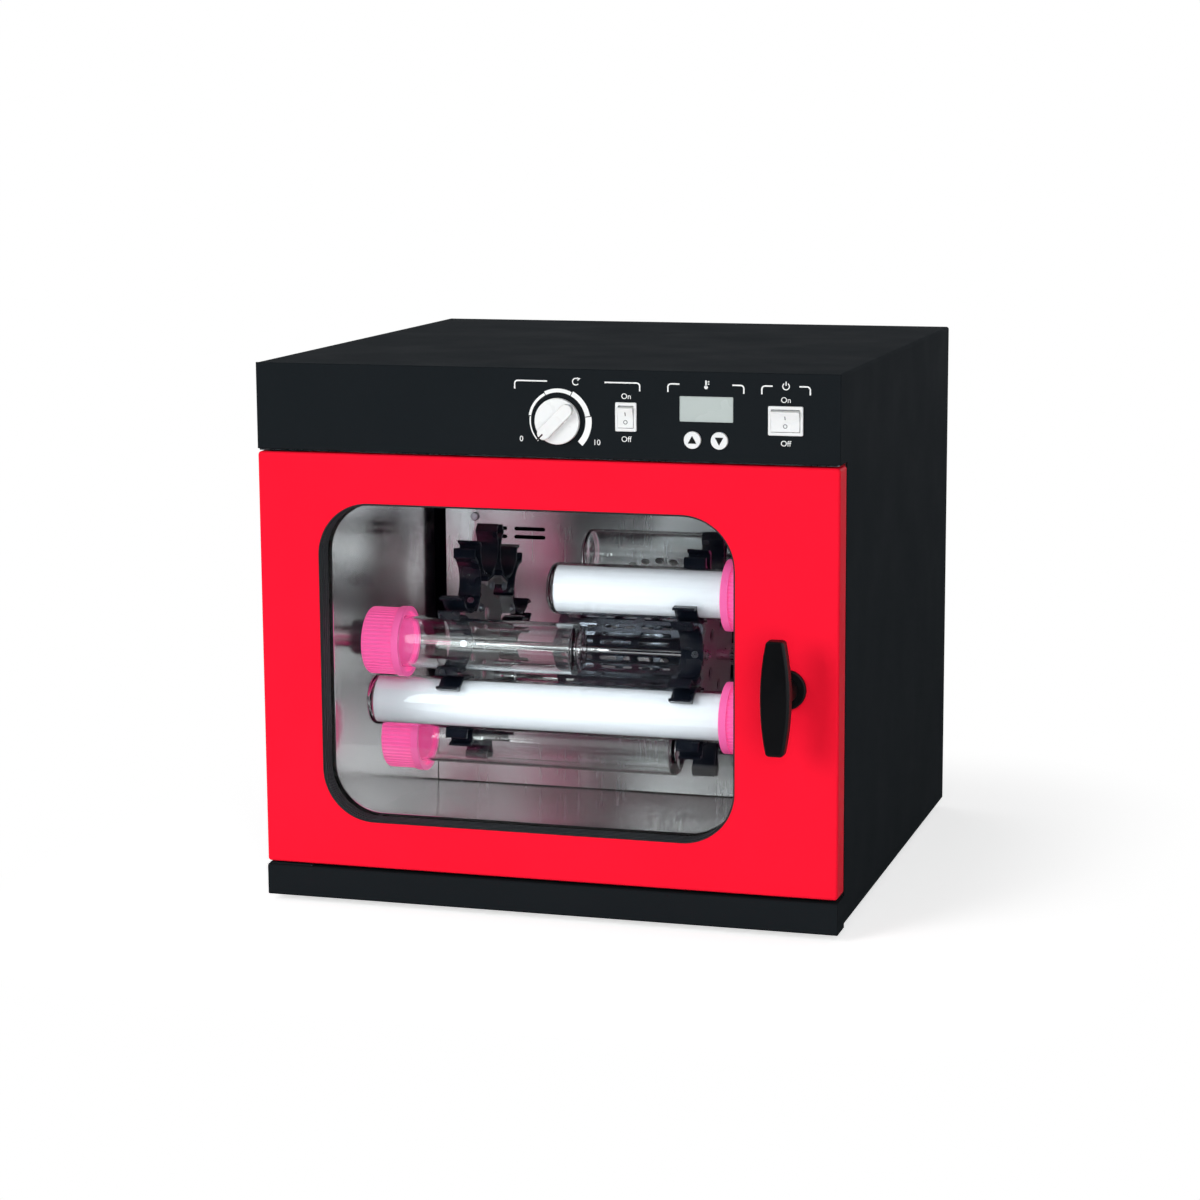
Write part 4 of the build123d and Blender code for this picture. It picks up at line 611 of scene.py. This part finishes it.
def printed(name, bm, node, x, z, material, body):
    """Gives a flat sketch a film's thickness and lays it on a CAD node."""
    raised = bmesh.ops.extrude_face_region(bm, geom=bm.faces[:])["geom"]
    lifted = [item for item in raised if isinstance(item, bmesh.types.BMVert)]
    bmesh.ops.translate(bm, verts=lifted, vec=(0, 0, INK))
    bmesh.ops.transform(bm, matrix=lay_on(node, x, z), verts=bm.verts)
    bmesh.ops.recalc_face_normals(bm, faces=bm.faces)
    return piece_from(name, bm, material, body)


def band(bm, middle, inner, outer, start, sweep):
    """A flat band round an arc, from a start angle through a sweep, in mm and degrees."""
    step = 4    # degrees to a facet
    way = Vector((cos(radians(start)), sin(radians(start)), 0))
    centre = Vector((*middle, 0)) * MM
    ends = [bm.verts.new(centre + way * r * MM) for r in (inner, outer)]
    edge = bm.edges.new(ends)
    bmesh.ops.spin(
        bm, geom=[*ends, edge], cent=centre, axis=(0, 0, 1), dvec=(0, 0, 0), angle=radians(sweep),
        steps=max(3, int(abs(sweep) / step)), use_merge=False, use_duplicate=False,
    )


def stroke(bm, start, end, width):
    """A flat straight bar between two points, in mm."""
    a, b = (Vector((*p, 0)) * MM for p in (start, end))
    side = (b - a).normalized().cross(Vector((0, 0, 1))) * width * MM / 2
    bm.faces.new([bm.verts.new(p) for p in (a - side, b - side, b + side, a + side)])


def filled(bm, points):
    """A flat filled outline through points, in mm."""
    bm.faces.new([bm.verts.new(Vector((*p, 0)) * MM) for p in points])


knob, rotor, power = (middle_of(n) for n in ("speed_knob", "rotor_rocker", "power_rocker"))
window, up_key, down_key = (middle_of(n) for n in ("display_window", "up_button", "down_button"))
PANEL = "control_panel"
SIGN_UP = 27.2
SIGN_Z = knob.z + SIGN_UP * MM


def panel_print(name, bm, x, z):
    """A white screen print on the control panel."""
    return printed(name, bm, PANEL, x, z, WHITE_INK, "cabinet")


# rotor scale: five bands that grow clockwise round the knob
SCALE_BANDS, SCALE_INNER, SCALE_THIN, SCALE_THICK = 5, 19.6, 0.9, 4.4
SCALE_START, SCALE_SWEEP, SCALE_GAP = 225, 270, 1.6
scale = bmesh.new()
for k in range(SCALE_BANDS):
    share = SCALE_SWEEP / SCALE_BANDS
    start = SCALE_START - k * share - SCALE_GAP / 2
    thick = SCALE_THIN + (SCALE_THICK - SCALE_THIN) * k / (SCALE_BANDS - 1)
    band(scale, (0, -SIGN_UP), SCALE_INNER, SCALE_INNER + thick, start, SCALE_GAP - share)
panel_print("rotor_scale_print", scale, knob.x, SIGN_Z)


def bracket(name, x, left, right, gap_left, gap_right):
    """A thin printed bracket over a group of controls, open for its sign."""
    leg, corner, width = 5.6, 2.2, 0.95
    bm = bmesh.new()
    stroke(bm, (left, -leg), (left, -corner), width)
    band(bm, (left + corner, -corner), corner - width / 2, corner + width / 2, 180, -90)
    stroke(bm, (left + corner, 0), (gap_left, 0), width)
    stroke(bm, (gap_right, 0), (right - corner, 0), width)
    band(bm, (right - corner, -corner), corner - width / 2, corner + width / 2, 90, -90)
    stroke(bm, (right, -corner), (right, -leg), width)
    panel_print(name, bm, x, SIGN_Z)


rotor_sign_x = knob.x + 12.8 * MM
bracket("rotor_bracket_print", rotor_sign_x, -43.8, 45.3, -20.5, 20.5)
bracket("heat_bracket_print", window.x, -26.6, 26.2, -18.5, 18.3)
bracket("power_bracket_print", power.x, -16.6, 16.6, -9.2, 9.2)

# signs in the brackets: a turning arrow, a thermometer and a power mark
SIGN_INNER, SIGN_OUTER, BULB_R, BULB_DOWN = 1.9, 2.6, 1.3, 1.8
turning = bmesh.new()
band(turning, (0, 0), SIGN_INNER, SIGN_OUTER, 40, 280)
filled(turning, [(0.9, 3.0), (3.4, 2.2), (1.3, 0.4)])
panel_print("rotor_sign_print", turning, rotor_sign_x, SIGN_Z)
heat = bmesh.new()
bmesh.ops.create_circle(
    heat, cap_ends=True, segments=24, radius=BULB_R * MM, matrix=Matrix.Translation((0, -BULB_DOWN * MM, 0))
)
stroke(heat, (0, -1.2), (0, 2.8), 1.0)
for k in range(3):
    stroke(heat, (1.1, 0.2 + k), (2.3, 0.2 + k), 0.4)
panel_print("heat_sign_print", heat, window.x, SIGN_Z)
mains = bmesh.new()
band(mains, (0, 0), SIGN_INNER, SIGN_OUTER, 125, 290)
stroke(mains, (0, 0.4), (0, 3.2), 0.7)
panel_print("power_sign_print", mains, power.x, SIGN_Z)


LETTER_MM = 5.4


def lettering(name, text, x, z):
    """Plain screen-printed lettering, centred on a point of the panel."""
    curve = bpy.data.curves.new(name, "FONT")
    curve.body = text
    curve.align_x = curve.align_y = "CENTER"
    curve.size = LETTER_MM * MM
    curve.extrude = INK / 2
    draft = bpy.data.objects.new(name, curve)
    bpy.context.scene.collection.objects.link(draft)
    bpy.context.view_layer.update()
    letters = bmesh.new()
    letters.from_mesh(bpy.data.meshes.new_from_object(draft))
    bpy.data.objects.remove(draft)
    bmesh.ops.remove_doubles(letters, verts=letters.verts, dist=FINE_WELD)
    bmesh.ops.transform(letters, matrix=lay_on(PANEL, x, z), verts=letters.verts)
    return piece_from(name, letters, WHITE_INK, "cabinet")


ON_UP, OFF_DOWN = 13.9 * MM, 15.4 * MM
for switch, spot in (("rotor", rotor), ("power", power)):
    lettering(f"{switch}_on_print", "On", spot.x, spot.z + ON_UP)
    lettering(f"{switch}_off_print", "Off", spot.x, spot.z - OFF_DOWN)
lettering("scale_low_print", "0", knob.x - 26.5 * MM, knob.z - 13.0 * MM)
lettering("scale_high_print", "10", knob.x + 27.5 * MM, knob.z - 14.2 * MM)


def marked(name, bm, node, x, z, ink, body):
    """A dark mark printed on a part that moves."""
    printed(name, bm, node, x, z, ink, body)


# arrows on the two keys
for key, spot, up in (("up", up_key, 1), ("down", down_key, -1)):
    arrow = bmesh.new()
    filled(arrow, [(-3.0, -2.3 * up), (3.0, -2.3 * up), (0, 3.1 * up)][::up])
    marked(f"{key}_arrow_print", arrow, f"{key}_button", spot.x, spot.z, BLACK_INK, f"{key}_key")

# a bar for on and a ring for off, on each rocker
BAR_UP, RING_DOWN = 2.2 * MM, 3.4 * MM
for switch, spot in (("rotor", rotor), ("power", power)):
    rocker, body = f"{switch}_rocker", f"{switch}_switch"
    one = bmesh.new()
    stroke(one, (0, -1.3), (0, 1.3), 0.6)
    marked(f"{switch}_one_print", one, rocker, spot.x, spot.z + BAR_UP, GREY_INK, body)
    ring = bmesh.new()
    band(ring, (0, 0), 1.0, 1.5, 0, 360)
    bmesh.ops.remove_doubles(ring, verts=ring.verts, dist=FINE_WELD)
    marked(f"{switch}_ring_print", ring, rocker, spot.x, spot.z - RING_DOWN, GREY_INK, body)

# pointer line at the knob's rim, towards the low end of the scale
POINTER_OFF, POINTER_RUN = 8.4 * MM, -4.2
pointer = bmesh.new()
stroke(pointer, (0, 0), (POINTER_RUN, POINTER_RUN), 1.1)
marked(
    "knob_pointer_print", pointer, "speed_knob", knob.x - POINTER_OFF, knob.z - POINTER_OFF, BLACK_INK,
    "speed_control",
)

# ------------------------------------------------------------------ studio
IMAGE_PX, FOCAL_PX, SENSOR_MM = 1200, 2989, 36
YAW, PITCH, ROLL = radians(16.55), radians(9.73), radians(-0.35)
CAMERA_AT = Vector((0.620, -2.1333, 0.580))


def studio_camera():
    """The camera at its viewing angle, without shift."""
    ahead = Vector((-sin(YAW) * cos(PITCH), cos(YAW) * cos(PITCH), -sin(PITCH)))
    level = Vector((cos(YAW), sin(YAW), 0))
    above = level.cross(ahead)
    right = level * cos(ROLL) + above * sin(ROLL)
    up = above * cos(ROLL) - level * sin(ROLL)
    turn = Matrix((right, up, -ahead)).transposed().to_4x4()
    data = bpy.data.cameras.new("camera")
    data.sensor_width = SENSOR_MM
    data.lens = FOCAL_PX / IMAGE_PX * SENSOR_MM
    camera = bpy.data.objects.new("camera", data)
    camera.matrix_world = Matrix.Translation(CAMERA_AT) @ turn
    bpy.context.scene.collection.objects.link(camera)
    bpy.context.scene.camera = camera


def soft_box(name, place, target, size, power, mirrored=True):
    """A square soft box aimed at a point, seen in metal or left to the room's walls."""
    data = bpy.data.lights.new(name, "AREA")
    data.size = size
    data.energy = power
    lamp = bpy.data.objects.new(name, data)
    lamp.location = place
    lamp.visible_glossy = mirrored
    lamp.rotation_euler = (Vector(target) - Vector(place)).to_track_quat("-Z", "Y").to_euler()
    bpy.context.scene.collection.objects.link(lamp)


def eye_rays(tree):
    """A tree's Light Path, and its share of rays that meet the eye straight or through glass."""
    path = add_node(tree, "ShaderNodeLightPath")
    sight = add_node(
        tree, "ShaderNodeMath", {0: path.outputs["Is Camera Ray"], 1: path.outputs["Is Transmission Ray"]},
        operation="MAXIMUM",
    )
    return path, sight.outputs["Value"]


FLOOR_SIDE, FLOOR_FRONT, FLOOR_BACK = 2.4, 0.66, 3.2
FLOOR_GLOW = 0.62                         # lifts the lit paper to white, so only the shadow stays grey
FADE_FROM, FADE_TO = 0.03, 0.22           # past the oven's foot, the paper turns to plain white over this way


def studio_floor():
    """A white paper sheet that keeps the shadow and fades into the white surround."""
    bm = bmesh.new()
    bmesh.ops.create_grid(bm, x_segments=1, y_segments=1, size=1)
    bmesh.ops.scale(bm, vec=(FLOOR_SIDE, (FLOOR_FRONT + FLOOR_BACK) / 2, 1), verts=bm.verts)
    bmesh.ops.translate(bm, vec=(0, (FLOOR_BACK - FLOOR_FRONT) / 2, 0), verts=bm.verts)
    mesh = bpy.data.meshes.new("studio_floor")
    bm.to_mesh(mesh)
    bm.free()
    # matt white studio paper: even, with the faintest tooth
    material, tree, place = blank_material("paper, matt white studio roll")
    speck = add_node(tree, "ShaderNodeTexNoise", {"Vector": place, "Scale": 1 / (4 * MM), "Detail": 2.0})
    tone = add_node(
        tree, "ShaderNodeMix", {0: speck.outputs["Fac"], 6: linear("#F1F1F1"), 7: linear("#F6F6F6")},
        data_type="RGBA",
    )
    paper = add_node(tree, "ShaderNodeBsdfPrincipled", {"Base Color": tone.outputs[2], "Roughness": 0.9})
    _, sight = eye_rays(tree)
    glow = add_node(tree, "ShaderNodeEmission", {"Strength": FLOOR_GLOW})
    lit = add_node(tree, "ShaderNodeAddShader", {0: paper.outputs["BSDF"], 1: glow.outputs["Emission"]})
    white = add_node(tree, "ShaderNodeEmission", {"Strength": 1.0})
    size = add_node(tree, "ShaderNodeVectorMath", {0: place}, operation="ABSOLUTE")
    past = add_node(
        tree, "ShaderNodeVectorMath", {0: size.outputs["Vector"], 1: (cad_high.x, cad_high.y, 0.0)},
        operation="SUBTRACT",
    )
    away = add_node(
        tree, "ShaderNodeVectorMath", {0: past.outputs["Vector"], 1: (0, 0, 0)}, operation="MAXIMUM"
    )
    reach = add_node(tree, "ShaderNodeVectorMath", {0: away.outputs["Vector"]}, operation="LENGTH")
    edge = add_node(
        tree, "ShaderNodeMapRange",
        {"Value": reach.outputs["Value"], "From Min": FADE_FROM, "From Max": FADE_TO},
        interpolation_type="SMOOTHSTEP",
    )
    faded = add_node(
        tree, "ShaderNodeMixShader",
        {0: edge.outputs["Result"], 1: lit.outputs["Shader"], 2: white.outputs["Emission"]},
    )
    seen = add_node(
        tree, "ShaderNodeMixShader", {0: sight, 1: paper.outputs["BSDF"], 2: faded.outputs["Shader"]}
    )
    add_node(tree, "ShaderNodeOutputMaterial", {"Surface": seen.outputs["Shader"]})
    mesh.materials.append(material)
    floor = bpy.data.objects.new("studio_floor", mesh)
    bpy.context.scene.collection.objects.link(floor)


FILL = 0.08                               # even light from all sides on matt surfaces
REAR_BRIGHT, RIGHT_BRIGHT = 0.8, 1.75     # strength of the room that metal mirrors, behind and to the right
REAR_FROM, REAR_TO = -0.25, 0.15          # way in Y over which that room turns from dim to bright
RIGHT_FROM, RIGHT_TO = 0.22, 0.29         # the same in X
DIM_ROOM, BRIGHT_ROOM = "#060A14", "#E8EAEE"


def studio_world():
    """White to the eye and through glass; metal sees white behind and to the right, and a dim room ahead."""
    world = bpy.data.worlds.new("studio")
    world.use_nodes = True
    tree = world.node_tree
    tree.nodes.clear()
    way = add_node(tree, "ShaderNodeTexCoord").outputs["Generated"]
    split = add_node(tree, "ShaderNodeSeparateXYZ", {"Vector": way})
    behind = add_node(
        tree, "ShaderNodeMapRange", {"Value": split.outputs["Y"], "From Min": REAR_FROM, "From Max": REAR_TO}
    )
    right = add_node(
        tree, "ShaderNodeMapRange",
        {"Value": split.outputs["X"], "From Min": RIGHT_FROM, "From Max": RIGHT_TO},
    )
    wall = add_node(
        tree, "ShaderNodeMath", {0: behind.outputs["Result"], 1: right.outputs["Result"]}, operation="MAXIMUM"
    )
    shade = add_node(
        tree, "ShaderNodeMix",
        {0: wall.outputs["Value"], 6: linear(DIM_ROOM), 7: linear(BRIGHT_ROOM)}, data_type="RGBA",
    )
    path, sight = eye_rays(tree)
    fill = add_node(tree, "ShaderNodeBackground", {"Color": (1, 1, 1, 1), "Strength": FILL})
    lit = add_node(
        tree, "ShaderNodeMapRange",
        {"Value": right.outputs["Result"], "To Min": REAR_BRIGHT, "To Max": RIGHT_BRIGHT},
    )
    room = add_node(
        tree, "ShaderNodeBackground", {"Strength": lit.outputs["Result"], "Color": shade.outputs[2]}
    )
    white = add_node(tree, "ShaderNodeBackground", {"Color": (1, 1, 1, 1), "Strength": 1.0})
    shine = add_node(
        tree, "ShaderNodeMixShader",
        {0: path.outputs["Is Glossy Ray"], 1: fill.outputs["Background"], 2: room.outputs["Background"]},
    )
    seen = add_node(
        tree, "ShaderNodeMixShader", {0: sight, 1: shine.outputs["Shader"], 2: white.outputs["Background"]}
    )
    add_node(tree, "ShaderNodeOutputWorld", {"Surface": seen.outputs["Shader"]})
    bpy.context.scene.world = world


studio_camera()
studio_floor()
studio_world()

# lamps: place, aim, size in metres and watts; the two large front ones light paint and glass but stay out of
# the mirrors of the chamber
AIM = (0, 0, 0.18)
soft_box("key", (1.0, -2.4, 0.7), AIM, 2.2, 43, mirrored=False)
soft_box("left", (-1.3, -2.1, 0.8), AIM, 1.1, 28, mirrored=False)
soft_box("high left", (-1.3, -1.9, 1.5), AIM, 0.9, 8)
soft_box("top", (-0.7, 0.5, 2.2), AIM, 1.4, 6)
soft_box("side", (2.4, 0.5, 0.9), AIM, 1.2, 3)
bpy.context.scene.view_settings.view_transform = "Standard"
